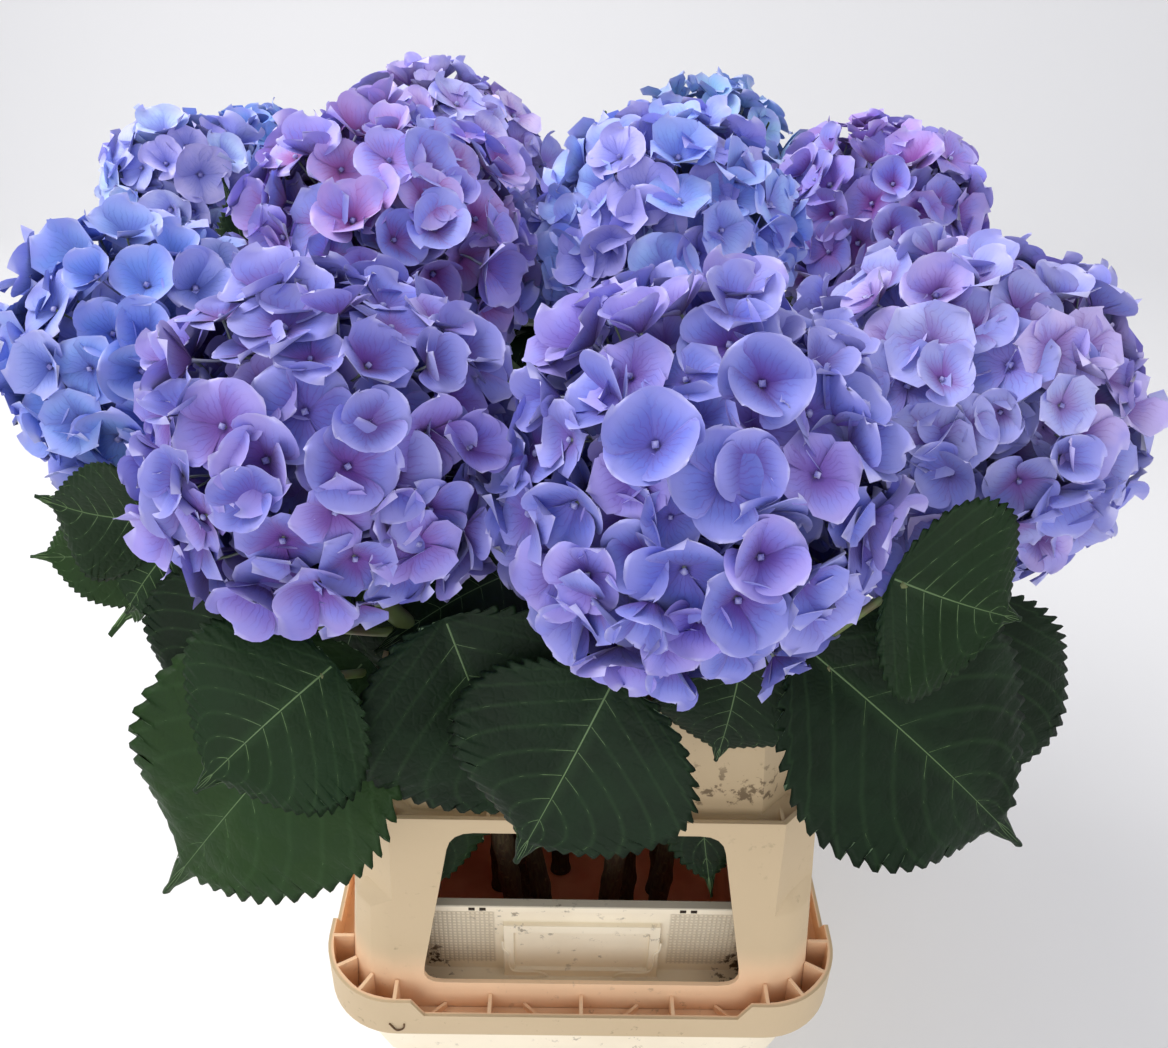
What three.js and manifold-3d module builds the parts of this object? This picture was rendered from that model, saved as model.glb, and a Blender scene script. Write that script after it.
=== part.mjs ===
// A bunch of cut hydrangeas standing in a flower bucket with a windowed collar.
// Millimetres, +Z up. The origin is on the ground under the middle of the bucket, the short
// side with the label holder looks along -Y, and the long side runs along Y.
import * as THREE from 'three';
import { ConvexGeometry } from 'three/addons/geometries/ConvexGeometry.js';
import { mergeVertices } from 'three/addons/utils/BufferGeometryUtils.js';
import Module from 'manifold-3d';

const wasm = await Module();
wasm.setup();

// Driving dimensions

const GAP = 0.3;        // air between two pieces that touch
const WALL = 2.5;       // moulded plastic wall

// Every plan outline is half the width, half the length and the corner's size.
const TUB = {
  height: 238, floor: 3,
  foot: { x: 112, y: 147, corner: 28 },
  rim: { x: 118, y: 155, corner: 32 },
  lip: { out: 3, height: 5 },
};
const SKIRT = {
  x: 127, y: 178, corner: 36, low: 128,
  flange: { x: 133, y: 184, top: 176.7, thick: 3 },
};
const LABEL = { width: 88, low: 176, high: 221, out: 4, frame: 6, sunk: 2.4 };

const FLANGE = { x: 142.5, y: 195, corner: 42, low: 177, high: 205, floor: 182 };
const DIP = { depth: 11.6, slope: 6.5, end: 91.5, side: 142 };
const SLEEVE = {
  bottom: { x: 131, y: 181.5, corner: 29 },
  top: { x: 117, y: 175, corner: 19 },
  high: 325, chamfer_from: 258, crescent: 9,
};
const LEDGE = { sunk: 4, rib: 1.8, rib_places: [-97, -49, 49, 97] };
const NECK = { x: 107, y: 165, corner: 19, top: { x: 103, y: 161, corner: 20 }, high: 388 };
const WINDOW = { low: 202, high: 316, half_low: 87.5, half_high: 68, corner: 12 };
const RIB = { thick: 2, corner_angles: [0, 30, 60, 90], front: [-50, 0, 50], side: [-98, -49, 0, 49, 98] };
const BRACE = { thick: 1.6, height: 5, reach: 15, places: [[-82, -1], [-24, 1], [24, -1], [82, 1]] };

// Stems: a foot on the tub's floor, the place where it passes the collar's mouth, and its head.
const STEM = { foot: 7.2, tip: 5.2, joint: 1.5, joints: 5, sides: 6, steps: 9, leaves_from: 374 };
const PLANTS = {
  front_left: { foot: [-30, -62], pass: [-70, -132], head: [-112, -142, 514], radius: 78 },
  front: { foot: [10, -72], pass: [30, -134], head: [37, -155, 508], radius: 84 },
  right: { foot: [45, -60], pass: [88, -76], head: [171, -78, 501], radius: 86 },
  left: { foot: [0, -88], pass: [-88, -56], head: [-215, -48, 508], radius: 72 },
  mid_left: { foot: [-38, 0], pass: [-62, 26], head: [-114, 36, 535], radius: 79 },
  mid: { foot: [36, -18], pass: [38, 44], head: [40, 78, 529], radius: 78 },
  back_left: { foot: [-60, 45], pass: [-80, 82], head: [-277, 210, 512], radius: 56 },
  far_left: { foot: [-45, 90], pass: [-66, 132], head: [-260, 315, 501], radius: 49.5 },
  back: { foot: [-12, 62], pass: [-30, 132], head: [-106, 200, 517], radius: 86 },
  back_mid: { foot: [24, 96], pass: [40, 138], head: [81, 246, 525], radius: 64 },
  back_right: { foot: [66, 42], pass: [86, 104], head: [186, 163, 515], radius: 71 },
};
const HEAD = {
  florets: 46, cup: 0.9, gap: 0.85, vary: 0.03,
  under_from: 130, under_to: 165, under: 0.7, seat: 0.62, stalk: 4.6, stalk_length: 34,
};

// Leaves: where the blade begins and ends, how wide it is and which way its face looks.
const LEAF = {
  thick: 1.8, petiole: 2.4, arch: 0.1, fold: 0.16, joined_at: 0.1, clear: 3,
  body: 0.9, fullest: 0.8, taper: 0.4, drip: 1.2,
};
const FACING = [0, -0.78, 0.62];
const AIMED_LEAVES = {
  front_left: [
    { base: [-99, -176, 428], tip: [-202, -196, 298], width: 124 },
    { base: [-108, -198, 443], tip: [-164, -227, 398], width: 92 },
    { base: [-64, -180, 454], tip: [-26, -202, 352], width: 110 },
    { base: [-148, -150, 440], tip: [-198, -164, 386], width: 76 },
    { base: [-30, -96, 422], tip: [-102, -150, 408], width: 84, facing: [0, -0.5, 1] },
  ],
  front: [
    { base: [8, -204, 444], tip: [-32, -230, 362], width: 106 },
    { base: [90, -176, 440], tip: [202, -194, 337], width: 120 },
    { base: [118, -188, 485], tip: [174, -190, 467], width: 90, facing: [0.1, -1, 0.25], sag: 50 },
    { base: [66, -172, 434], tip: [58, -180, 374], width: 72 },
    { base: [24, -108, 402], tip: [-14, -172, 388], width: 62, facing: [0, -0.5, 1] },
  ],
  right: [
    { base: [190, -108, 418], tip: [222, -128, 290], width: 84, facing: [0.3, -0.9, 0.3] },
    { base: [176, -110, 370], tip: [191, -138, 286], width: 60, facing: [0.3, -0.9, 0.3] },
  ],
  left: [
    { base: [-192, -118, 453], tip: [-225, -124, 410], width: 82 },
    { base: [-205, -111, 442], tip: [-266, -119, 439], width: 56, facing: [0, -1, 0.15] },
    { base: [-198, -127, 467], tip: [-248, -133, 482], width: 74, facing: [-0.1, -1, -0.12] },
  ],
  back_mid: [
    { base: [40, 165, 470], tip: [6, 165, 584], width: 56, facing: [0, 1, 0] },
    { base: [72, 165, 470], tip: [109, 165, 580], width: 36, facing: [0, 1, 0] },
  ],
  back_left: [
    { base: [-196, 100, 472], tip: [-214, 90, 560], width: 44, facing: [0, -1, 0] },
  ],
};
// Leaves that hang over the rim: where round the collar's mouth they go, by plant, in degrees
// from +X. Neighbours lie in two layers, one behind the other.
const RIM_LEAVES = {
  right: [-14, 12], back_right: [33, 52], back_mid: [70, 88], back: [106], far_left: [121],
  back_left: [137], left: [158, 176, 196],
};
const LAYERS = [
  { out: 22, up: 36, fall: 58, length: 124, width: 92 },
  { out: 58, up: 50, fall: 40, length: 132, width: 96 },
];
// The pair under a head, to both sides of the way it leans.
const RUFF = {
  plants: ['right', 'mid_left', 'mid', 'back_left', 'far_left', 'back', 'back_mid', 'back_right'],
  turns: [-58, 52], reach: 1.12, low: 0.66, width: 0.95, scales: [1, 0.85, 0.7],
  below: 17, stalk: 22,
};

const CREAM = new THREE.MeshStandardMaterial({ color: 0xdcc4a4, roughness: 0.55, metalness: 0 });
const PEACH = new THREE.MeshStandardMaterial({ color: 0xe6bf98, roughness: 0.5, metalness: 0 });
const BARK = new THREE.MeshStandardMaterial({ color: 0x4d4a2c, roughness: 0.8, metalness: 0 });
const GREEN = new THREE.MeshStandardMaterial({ color: 0x2d4a2e, roughness: 0.6, metalness: 0 });
const PETAL_COLOURS = {
  front_left: 0x8f8ade, front: 0x8a94e2, right: 0xa79fe2, left: 0x7f9ae6, mid_left: 0xb184c8,
  mid: 0x8496e0, back_left: 0x8fa0e4, far_left: 0x6f8fdc, back: 0xa396d8, back_mid: 0x8ea6dc,
  back_right: 0x8f74c4,
};

// Solids

const vec = (place) => new THREE.Vector3(...place);

/** A closed solid from a three.js geometry. */
function solid(geometry) {
  const bare = geometry.clone();
  for (const name of Object.keys(bare.attributes)) {
    if (name !== 'position') bare.deleteAttribute(name);
  }
  const joined = mergeVertices(bare, 1e-4);
  return new wasm.Manifold(new wasm.Mesh({
    numProp: 3,
    vertProperties: new Float32Array(joined.attributes.position.array),
    triVerts: new Uint32Array(joined.index.array),
  }));
}

/** The named mesh of a solid. */
function named(name, body, material) {
  const { vertProperties, triVerts } = body.getMesh();
  const geometry = new THREE.BufferGeometry();
  geometry.setAttribute('position', new THREE.BufferAttribute(new Float32Array(vertProperties), 3));
  geometry.setIndex(new THREE.BufferAttribute(new Uint32Array(triVerts), 1));
  geometry.computeVertexNormals();
  const mesh = new THREE.Mesh(geometry, material);
  mesh.name = name;
  return mesh;
}

/** A box between two corners. */
function block(low, high) {
  const size = vec(high).sub(vec(low));
  const middle = vec(low).add(vec(high)).multiplyScalar(0.5);
  return solid(new THREE.BoxGeometry(...size.toArray()).translate(...middle.toArray()));
}

/** A closed skin through rings of equally many points, with its two ends filled. */
function loft(rings) {
  const count = rings[0].length;
  const places = rings.flat().flatMap((point) => point.toArray());
  const faces = [];
  for (let level = 0; level + 1 < rings.length; level += 1) {
    for (let i = 0; i < count; i += 1) {
      const a = level * count + i;
      const b = level * count + ((i + 1) % count);
      faces.push(a, b, b + count, a, b + count, a + count);
    }
  }
  const ends = THREE.ShapeUtils.triangulateShape(rings[0].map((p) => new THREE.Vector2(p.x, p.y)), []);
  const top = (rings.length - 1) * count;
  for (const [a, b, c] of ends) faces.push(c, b, a, top + a, top + b, top + c);
  const geometry = new THREE.BufferGeometry();
  geometry.setAttribute('position', new THREE.Float32BufferAttribute(places, 3));
  geometry.setIndex(faces);
  return solid(geometry);
}

const CORNER_STEPS = 3;

/** A ring at height z round a plan outline. Its corners are arcs, or flat chamfers where flat is 1. */
function ring({ x, y, corner }, z, flat = 0) {
  const points = [];
  for (let quarter = 0; quarter < 4; quarter += 1) {
    const sx = quarter === 0 || quarter === 3 ? 1 : -1;
    const sy = quarter < 2 ? 1 : -1;
    for (let step = 0; step <= CORNER_STEPS; step += 1) {
      const share = step / CORNER_STEPS;
      const along = quarter % 2 ? 1 - share : share;
      const arc = [Math.cos(along * Math.PI / 2), Math.sin(along * Math.PI / 2)];
      const chord = [1 - along, along];
      const [u, v] = [0, 1].map((axis) => arc[axis] + (chord[axis] - arc[axis]) * flat);
      points.push(new THREE.Vector3(sx * (x - corner + corner * u), sy * (y - corner + corner * v), z));
    }
  }
  return points;
}

/** The outline moved in by an amount. */
const inset = ({ x, y, corner }, by) => ({ x: x - by, y: y - by, corner: Math.max(corner - by * 0.6, 2) });

/** The outline between two others. */
function between(a, b, share) {
  const mix = (key) => a[key] + (b[key] - a[key]) * share;
  return { x: mix('x'), y: mix('y'), corner: mix('corner') };
}

const prism = (outline, low, high) => loft([ring(outline, low), ring(outline, high)]);

// The bucket

function makeTub() {
  const wall = (by, low, high) => loft([low, high].map((z) => (
    ring(inset(between(TUB.foot, TUB.rim, z / TUB.height), by), z))));
  const lip = prism({ ...TUB.rim, x: TUB.rim.x + TUB.lip.out, y: TUB.rim.y + TUB.lip.out },
    TUB.height - TUB.lip.height, TUB.height);
  const { flange } = SKIRT;
  const shoulder = prism({ ...flange, corner: SKIRT.corner }, flange.top - flange.thick, flange.top);
  const skirt = prism(SKIRT, SKIRT.low, flange.top - 1)
    .subtract(prism(inset(SKIRT, WALL), SKIRT.low - 1, flange.top - flange.thick));
  const half = LABEL.width / 2;
  const face = -TUB.rim.y + 1;
  const holder = block([-half, face - LABEL.out, LABEL.low], [half, face + 4, LABEL.high])
    .subtract(block([-half + LABEL.frame, face - LABEL.out - 1, LABEL.low + LABEL.frame],
      [half - LABEL.frame, face - LABEL.out + LABEL.sunk, LABEL.high - LABEL.frame]));
  return wall(0, 0, TUB.height).add(lip).add(shoulder).add(skirt).add(holder)
    .subtract(wall(WALL, TUB.floor, TUB.height + 1));
}

// The collar: one moulding, in three parts

/** The sleeve's outline at a height, moved in by an amount, with round or flat corners. */
function sleeveRing(by, z, flat) {
  const share = (z - FLANGE.low) / (SLEEVE.high - FLANGE.low);
  return ring(inset(between(SLEEVE.bottom, SLEEVE.top, share), by), z, flat);
}

/** The sleeve's skin: round corners below, flat chamfers above a crescent step. */
function sleeveSkin(by, low, high) {
  const step = SLEEVE.chamfer_from;
  return loft([sleeveRing(by, low, 0), sleeveRing(by, step, 0),
    sleeveRing(by, step + SLEEVE.crescent, 1), sleeveRing(by, high, 1)]);
}

/** A window's cutter: a trapezium with round corners, run through the front wall. */
function windowCutter() {
  const { low, high, half_low: wide, half_high: slim, corner } = WINDOW;
  const corners = [[-wide, low], [wide, low], [slim, high], [-slim, high]];
  const shape = new THREE.Shape();
  corners.forEach(([x, z], i) => {
    const here = new THREE.Vector2(x, z);
    const toward = (other) => here.clone().add(new THREE.Vector2(...other).sub(here).setLength(corner));
    const start = toward(corners[(i + 3) % 4]);
    const end = toward(corners[(i + 1) % 4]);
    if (i === 0) shape.moveTo(start.x, start.y);
    else shape.lineTo(start.x, start.y);
    shape.quadraticCurveTo(x, z, end.x, end.y);
  });
  const depth = SLEEVE.bottom.y - NECK.y + 8;
  const cutter = new THREE.ExtrudeGeometry(shape, { depth, bevelEnabled: false, curveSegments: 4 });
  return solid(cutter.rotateX(Math.PI / 2).translate(0, -SLEEVE.bottom.y + depth - 4, 0));
}

/** A trapezoid notch across the flange's band: along X at the ends, along Y at the sides. */
function dipCutter(end, reach, turn) {
  const { depth, slope } = DIP;
  const shape = new THREE.Shape([[-end - slope, 1], [-end, 0], [-end + slope, -depth],
    [end - slope, -depth], [end, 0], [end + slope, 1]].map(([x, z]) => new THREE.Vector2(x, z)));
  const cutter = new THREE.ExtrudeGeometry(shape, { depth: 2 * reach, bevelEnabled: false });
  return solid(cutter.rotateX(Math.PI / 2).translate(0, reach, FLANGE.high).rotateZ(turn));
}

/** A thin upright rib from the sleeve out to the band, turned about a point of the plan. */
function rib(x, y, angle, length, high) {
  const low = FLANGE.floor - 1;
  const plate = new THREE.BoxGeometry(length, RIB.thick, high - low)
    .translate(length / 2, 0, (low + high) / 2).rotateZ(angle).translate(x, y, 0);
  return solid(plate);
}

function flangeRibs() {
  const ribs = [];
  const wallAt = inset(FLANGE, 1);
  const deep = SLEEVE.bottom;
  const dipped = FLANGE.high - DIP.depth;
  for (const sx of [-1, 1]) {
    for (const sy of [-1, 1]) {
      const [cx, cy] = [sx * (FLANGE.x - FLANGE.corner), sy * (FLANGE.y - FLANGE.corner)];
      for (const degrees of RIB.corner_angles) {
        const local = THREE.MathUtils.degToRad(degrees);
        const angle = Math.atan2(sy * Math.sin(local), sx * Math.cos(local));
        const start = FLANGE.corner - (FLANGE.x - deep.x) - WALL;
        const at = [cx + start * Math.cos(angle), cy + start * Math.sin(angle)];
        ribs.push(rib(...at, angle, FLANGE.corner - 1 - start, FLANGE.high));
      }
    }
    for (const y of RIB.side) {
      const start = deep.x - 1;
      ribs.push(rib(sx * start, y, sx > 0 ? 0 : Math.PI, wallAt.x - start, dipped));
    }
    for (const x of RIB.front) {
      const start = deep.y - 1;
      ribs.push(rib(x, sx * start, sx * Math.PI / 2, wallAt.y - start, dipped));
    }
  }
  return ribs;
}

/** Slanting braces low in the channel at the two ends. */
function flangeBraces() {
  const reach = FLANGE.y - SLEEVE.bottom.y;
  const low = FLANGE.floor - 1;
  const braces = [];
  for (const end of [-1, 1]) {
    for (const [x, slant] of BRACE.places) {
      const brace = new THREE.BoxGeometry(Math.hypot(BRACE.reach, reach), BRACE.thick, BRACE.height)
        .rotateZ(slant * end * Math.atan2(reach, BRACE.reach))
        .translate(x, end * (SLEEVE.bottom.y + reach / 2), low + BRACE.height / 2);
      braces.push(solid(brace).intersect(prism(inset(FLANGE, 1), low, low + BRACE.height)));
    }
  }
  return braces;
}

function makeFlange() {
  const open = inset(SLEEVE.bottom, WALL);
  const band = prism(FLANGE, FLANGE.low, FLANGE.high)
    .subtract(prism(inset(FLANGE, WALL), FLANGE.low - 1, FLANGE.high + 1))
    .subtract(dipCutter(DIP.end, FLANGE.y + 1, 0))
    .subtract(dipCutter(DIP.side, FLANGE.x + 1, Math.PI / 2));
  const channel = prism(inset(FLANGE, 1), FLANGE.floor - WALL, FLANGE.floor)
    .subtract(prism(open, FLANGE.low, FLANGE.high));
  let body = band.add(channel);
  for (const piece of [...flangeRibs(), ...flangeBraces()]) body = body.add(piece);
  return body.subtract(sleeveSkin(-GAP, FLANGE.low - 1, SLEEVE.high));
}

function makeSleeve() {
  const cutter = windowCutter();
  return sleeveSkin(0, FLANGE.low, SLEEVE.high).subtract(sleeveSkin(WALL, FLANGE.low - 1, SLEEVE.high + 1))
    .subtract(cutter).subtract(cutter.rotate([0, 0, 180]));
}

/** The neck, on a ledge that fills the sleeve's top and has small ribs at its two ends. */
function makeNeck() {
  const shelf_z = SLEEVE.high - LEDGE.sunk;
  const filling = (low, high) => loft([low, high].map((z) => sleeveRing(WALL + GAP, z, 1)));
  const neck = loft([ring(NECK, shelf_z - WALL, 1), ring(NECK.top, NECK.high, 1)]);
  const mouth = loft([ring(inset(NECK, WALL), shelf_z - WALL - 1, 1),
    ring(inset(NECK.top, WALL), NECK.high + 1, 1)]);
  let body = filling(shelf_z - WALL, shelf_z).add(neck);
  for (const end of [-1, 1]) {
    for (const x of LEDGE.rib_places) {
      const y = [end * (NECK.y - 1), end * SLEEVE.top.y].sort((a, b) => a - b);
      const half = LEDGE.rib / 2;
      const plate = block([x - half, y[0], shelf_z - 1], [x + half, y[1], SLEEVE.high - 0.5]);
      body = body.add(plate.intersect(filling(shelf_z - WALL, SLEEVE.high)));
    }
  }
  return body.subtract(mouth);
}

// Stems, leaves and heads

/** Which way a head looks: half way between straight up and away from the bunch. */
function headAxis({ pass, head }) {
  const out = vec(head).sub(new THREE.Vector3(...pass, NECK.high)).normalize();
  return out.add(new THREE.Vector3(0, 0, 1)).normalize();
}

/** The line of one stem from its foot to inside its head. */
function stemLine(plant) {
  const axis = headAxis(plant);
  const seat = vec(plant.head).addScaledVector(axis, -HEAD.seat * plant.radius);
  const below = seat.clone().addScaledVector(axis, -HEAD.stalk_length);
  const foot = new THREE.Vector3(...plant.foot, TUB.floor + GAP);
  const pass = new THREE.Vector3(...plant.pass, NECK.high);
  return new THREE.CatmullRomCurve3([foot, pass, below, seat]);
}

/** How far along a line it reaches a height. */
function shareAtHeight(line, height) {
  let [low, high] = [0, 1];
  for (let i = 0; i < 30; i += 1) {
    const middle = (low + high) / 2;
    if (line.getPointAt(middle).z < height) low = middle;
    else high = middle;
  }
  return low;
}

/** A tapering limb along part of a line: a cylinder bent to it, with its first cut level if asked. */
function limb(line, from, to, radiusAt, sides, steps, level = false) {
  const geometry = new THREE.CylinderGeometry(1, 1, 1, sides, steps);
  const places = geometry.attributes.position;
  const across = new THREE.Vector3(0.3, 1, 0.1);
  for (let i = 0; i < places.count; i += 1) {
    const share = places.getY(i) + 0.5;
    const u = from + (to - from) * share;
    const way = line.getTangentAt(u);
    if (level) way.lerp(new THREE.Vector3(0, 0, 1), Math.max(0, 1 - share * steps)).normalize();
    const side = new THREE.Vector3().crossVectors(across, way).normalize();
    const other = new THREE.Vector3().crossVectors(way, side);
    const radius = radiusAt(share);
    const place = line.getPointAt(u)
      .addScaledVector(side, places.getX(i) * radius).addScaledVector(other, -places.getZ(i) * radius);
    places.setXYZ(i, place.x, place.y, place.z);
  }
  return solid(geometry);
}

/** A stem's radius: it tapers, and swells at its joints. */
function stemRadius(share) {
  const joint = Math.cos(share * STEM.joints * 2 * Math.PI) ** 8;
  return STEM.foot + (STEM.tip - STEM.foot) * share + STEM.joint * joint * (1 - share);
}

/** Half the blade's width at a share of its length: a broad body, then a tip drawn out thin. */
function bladeHalf(share) {
  const inBody = Math.min(share / LEAF.body, 1);
  const body = Math.max(Math.sin(Math.PI * inBody ** LEAF.fullest), 0) ** (0.5 + LEAF.taper * share);
  const drip = LEAF.drip * share ** 2 * (1 - share);
  return 0.5 * Math.max(Math.hypot(body, drip), 0.03);
}

/** A point of a blade, by its share of the length, of the half width and its lift off the middle. */
function bladePoint({ base, tip, width, facing = FACING }, share, across, lift) {
  const chord = vec(tip).sub(vec(base));
  const along = chord.clone().normalize();
  const up = vec(facing).addScaledVector(along, -vec(facing).dot(along)).normalize();
  const side = new THREE.Vector3().crossVectors(along, up);
  const half = width * bladeHalf(share);
  const arch = LEAF.arch * chord.length() * 4 * share * (1 - share);
  const fold = LEAF.fold * half * Math.abs(across);
  return vec(base).addScaledVector(chord, share).addScaledVector(side, across * half)
    .addScaledVector(up, arch + fold + lift);
}

const STATIONS = [0, 0.08, 0.34, 0.66, 0.86, 1];

/** A leaf blade: arched along its length and folded up a little along its midrib. */
function blade(leaf) {
  const rings = STATIONS.map((share) => [
    ...[-1, 0, 1].map((across) => bladePoint(leaf, share, across, LEAF.thick / 2)),
    ...[1, 0, -1].map((across) => bladePoint(leaf, share, across, -LEAF.thick / 2)),
  ]);
  const faces = [];
  for (let level = 0; level + 1 < rings.length; level += 1) {
    for (let i = 0; i < 6; i += 1) {
      const a = level * 6 + i;
      const b = level * 6 + ((i + 1) % 6);
      faces.push(a, b, b + 6, a, b + 6, a + 6);
    }
  }
  const end = (rings.length - 1) * 6;
  for (const [a, b, c, d] of [[0, 1, 4, 5], [1, 2, 3, 4]]) {
    faces.push(c, b, a, d, c, a, end + a, end + b, end + c, end + a, end + c, end + d);
  }
  const places = rings.flat().flatMap((point) => point.toArray());
  const geometry = new THREE.BufferGeometry();
  geometry.setAttribute('position', new THREE.Float32BufferAttribute(places, 3));
  geometry.setIndex(faces);
  return solid(geometry);
}

/** How far a head reaches along a direction, with its hollow underside and its pressed sides. */
function headReach(name, way) {
  const { head, radius } = PLANTS[name];
  const tilt = THREE.MathUtils.radToDeg(way.angleTo(headAxis(PLANTS[name])));
  const under = 1 - (1 - HEAD.under) * THREE.MathUtils.smoothstep(tilt, HEAD.under_from, HEAD.under_to);
  return Object.keys(PLANTS).filter((other) => other !== name).reduce((far, other) => {
    const toward = vec(PLANTS[other].head).sub(vec(head));
    const apart = toward.length();
    const plane = (apart ** 2 + radius ** 2 - PLANTS[other].radius ** 2) / (2 * apart) - GAP / 2;
    const facing = way.dot(toward.normalize());
    return facing > 0 ? Math.min(far, plane / facing) : far;
  }, radius * under);
}

/** Whether a point is clear of every head, and on its own side of its own head's neighbours. */
function isClear(name, point) {
  const own = PLANTS[name];
  const outside = Object.entries(PLANTS).every(([other, { head, radius }]) => {
    const way = point.clone().sub(vec(head));
    const far = way.length();
    return far > radius + LEAF.clear || far > headReach(other, way.normalize()) + LEAF.clear;
  });
  return outside && Object.values(PLANTS).every((other) => {
    const toward = vec(other.head).sub(vec(own.head));
    const apart = toward.length();
    if (apart === 0) return true;
    const plane = (apart ** 2 + own.radius ** 2 - other.radius ** 2) / (2 * apart);
    return point.clone().sub(vec(own.head)).dot(toward.normalize()) < plane - LEAF.clear;
  });
}

/** The pair of leaves under a head that stay in its own space. */
function ruffLeaves(name, line, to) {
  const { head, radius } = PLANTS[name];
  const lean = vec(head).sub(line.getPointAt(0));
  const outward = Math.atan2(lean.y, lean.x);
  const root = line.getPointAt(to - RUFF.below / line.getLength());
  const leaves = [];
  for (const turn of RUFF.plants.includes(name) ? RUFF.turns : []) {
    const angle = outward + THREE.MathUtils.degToRad(turn);
    const flat = new THREE.Vector3(Math.cos(angle), Math.sin(angle), 0);
    const tip = vec(head).addScaledVector(flat, RUFF.reach * radius);
    tip.z -= RUFF.low * radius;
    const base = root.clone().addScaledVector(flat, RUFF.stalk);
    const fitting = RUFF.scales.map((scale) => ({
      root,
      base: base.toArray(),
      tip: base.clone().lerp(tip, scale).toArray(),
      width: RUFF.width * radius * scale,
      facing: [flat.x * 0.2, flat.y * 0.2, 1],
    })).find((leaf) => STATIONS.every((share) => (
      [-1, 0, 1].every((across) => isClear(name, bladePoint(leaf, share, across, 0))))));
    if (fitting) leaves.push(fitting);
  }
  return leaves;
}

/** The place of the collar's mouth in a direction from its middle. */
function rimPoint(angle) {
  const [c, s] = [Math.cos(angle), Math.sin(angle)];
  const far = 1 / Math.max(Math.abs(c) / NECK.x, Math.abs(s) / NECK.y,
    (Math.abs(c) + Math.abs(s)) / (NECK.x + NECK.y - NECK.corner));
  return new THREE.Vector3(c * far, s * far, NECK.high);
}

/** The leaves that a plant hangs over the rim. */
function rimLeaves(name, line, from, to) {
  const order = Object.values(RIM_LEAVES).flat().sort((a, b) => a - b);
  return (RIM_LEAVES[name] ?? []).map((degrees, i) => {
    const layer = LAYERS[order.indexOf(degrees) % LAYERS.length];
    const angle = THREE.MathUtils.degToRad(degrees);
    const flat = new THREE.Vector3(Math.cos(angle), Math.sin(angle), 0);
    const base = rimPoint(angle).addScaledVector(flat, layer.out);
    base.z += layer.up;
    const down = THREE.MathUtils.degToRad(layer.fall);
    const tip = base.clone().addScaledVector(flat, layer.length * Math.cos(down));
    tip.z -= layer.length * Math.sin(down);
    const root = line.getPointAt(from + (to - from) * (0.4 + 0.12 * i));
    const facing = [flat.x, flat.y, 0.8];
    return { root, base: base.toArray(), tip: tip.toArray(), width: layer.width, facing };
  });
}

/** A plant's leaf mass: the top of its stem with every leaf fused on by its stalk. */
function leafMass(name, line, from, to) {
  let mass = limb(line, from, to, (share) => STEM.tip - 0.6 * share, STEM.sides, 3);
  const aimed = (AIMED_LEAVES[name] ?? []).map((leaf, i) => (
    { ...leaf, root: line.getPointAt(from + (to - from) * (0.3 + 0.1 * i)) }));
  for (const leaf of [...aimed, ...rimLeaves(name, line, from, to), ...ruffLeaves(name, line, to)]) {
    const end = bladePoint(leaf, LEAF.joined_at, 0, 0);
    const control = leaf.root.clone().lerp(end, 0.5).add(new THREE.Vector3(0, 0, -(leaf.sag ?? 0)));
    const stalk = new THREE.QuadraticBezierCurve3(leaf.root, control, end);
    mass = mass.add(limb(stalk, 0, 1, () => LEAF.petiole, 3, leaf.sag ? 4 : 1)).add(blade(leaf));
  }
  return mass;
}

/** Points spread evenly over a unit sphere. */
function evenPoints(count) {
  const golden = Math.PI * (3 - Math.sqrt(5));
  return Array.from({ length: count }, (_, i) => {
    const z = 1 - (2 * i + 1) / count;
    const flat = Math.sqrt(1 - z * z);
    return new THREE.Vector3(Math.cos(golden * i) * flat, Math.sin(golden * i) * flat, z);
  });
}

/** One flower head: a ball of cupped florets, pressed by its neighbours, on its stalk. */
function makeHead(name, line, from) {
  const plant = PLANTS[name];
  const turn = new THREE.Quaternion().setFromUnitVectors(new THREE.Vector3(0, 0, 1), headAxis(plant));
  const reach = (way, share) => {
    const wave = 1 - HEAD.vary + HEAD.vary * Math.sin(17 * way.x + 11 * way.y + 23 * way.z);
    return headReach(name, way) * share * wave;
  };
  const place = (way, share) => {
    const unit = way.clone().normalize();
    return unit.multiplyScalar(reach(unit, share)).add(vec(plant.head));
  };
  const points = evenPoints(HEAD.florets).map((point) => point.applyQuaternion(turn));
  const hull = new ConvexGeometry(points).attributes.position;
  const places = [];
  for (let face = 0; face < hull.count; face += 3) {
    const centres = [0, 1, 2].map((i) => new THREE.Vector3().fromBufferAttribute(hull, face + i));
    const middle = place(centres[0].clone().add(centres[1]).add(centres[2]), HEAD.gap);
    centres.forEach((centre, i) => {
      const next = centres[(i + 1) % 3];
      const edge = place(centre.clone().add(next), 1);
      const corners = [place(centre, HEAD.cup), edge, middle, edge, place(next, HEAD.cup), middle];
      places.push(...corners.flatMap((corner) => corner.toArray()));
    });
  }
  const geometry = new THREE.BufferGeometry();
  geometry.setAttribute('position', new THREE.Float32BufferAttribute(places, 3));
  return solid(geometry).add(limb(line, from, 1, () => HEAD.stalk, 6, 3));
}

const model = new THREE.Group();
model.add(named('bucket', makeTub(), CREAM));
model.add(named('collar_flange', makeFlange(), PEACH));
model.add(named('collar_sleeve', makeSleeve(), CREAM));
model.add(named('collar_neck', makeNeck(), CREAM));

const lines = Object.fromEntries(Object.entries(PLANTS).map(([name, plant]) => {
  const line = stemLine(plant);
  const enters = shareAtHeight(line, STEM.leaves_from);
  const seat = 1 - (HEAD.stalk_length + 2) / line.getLength();
  return [name, { line, enters, seat, clear: GAP / line.getLength() }];
}));

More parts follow.
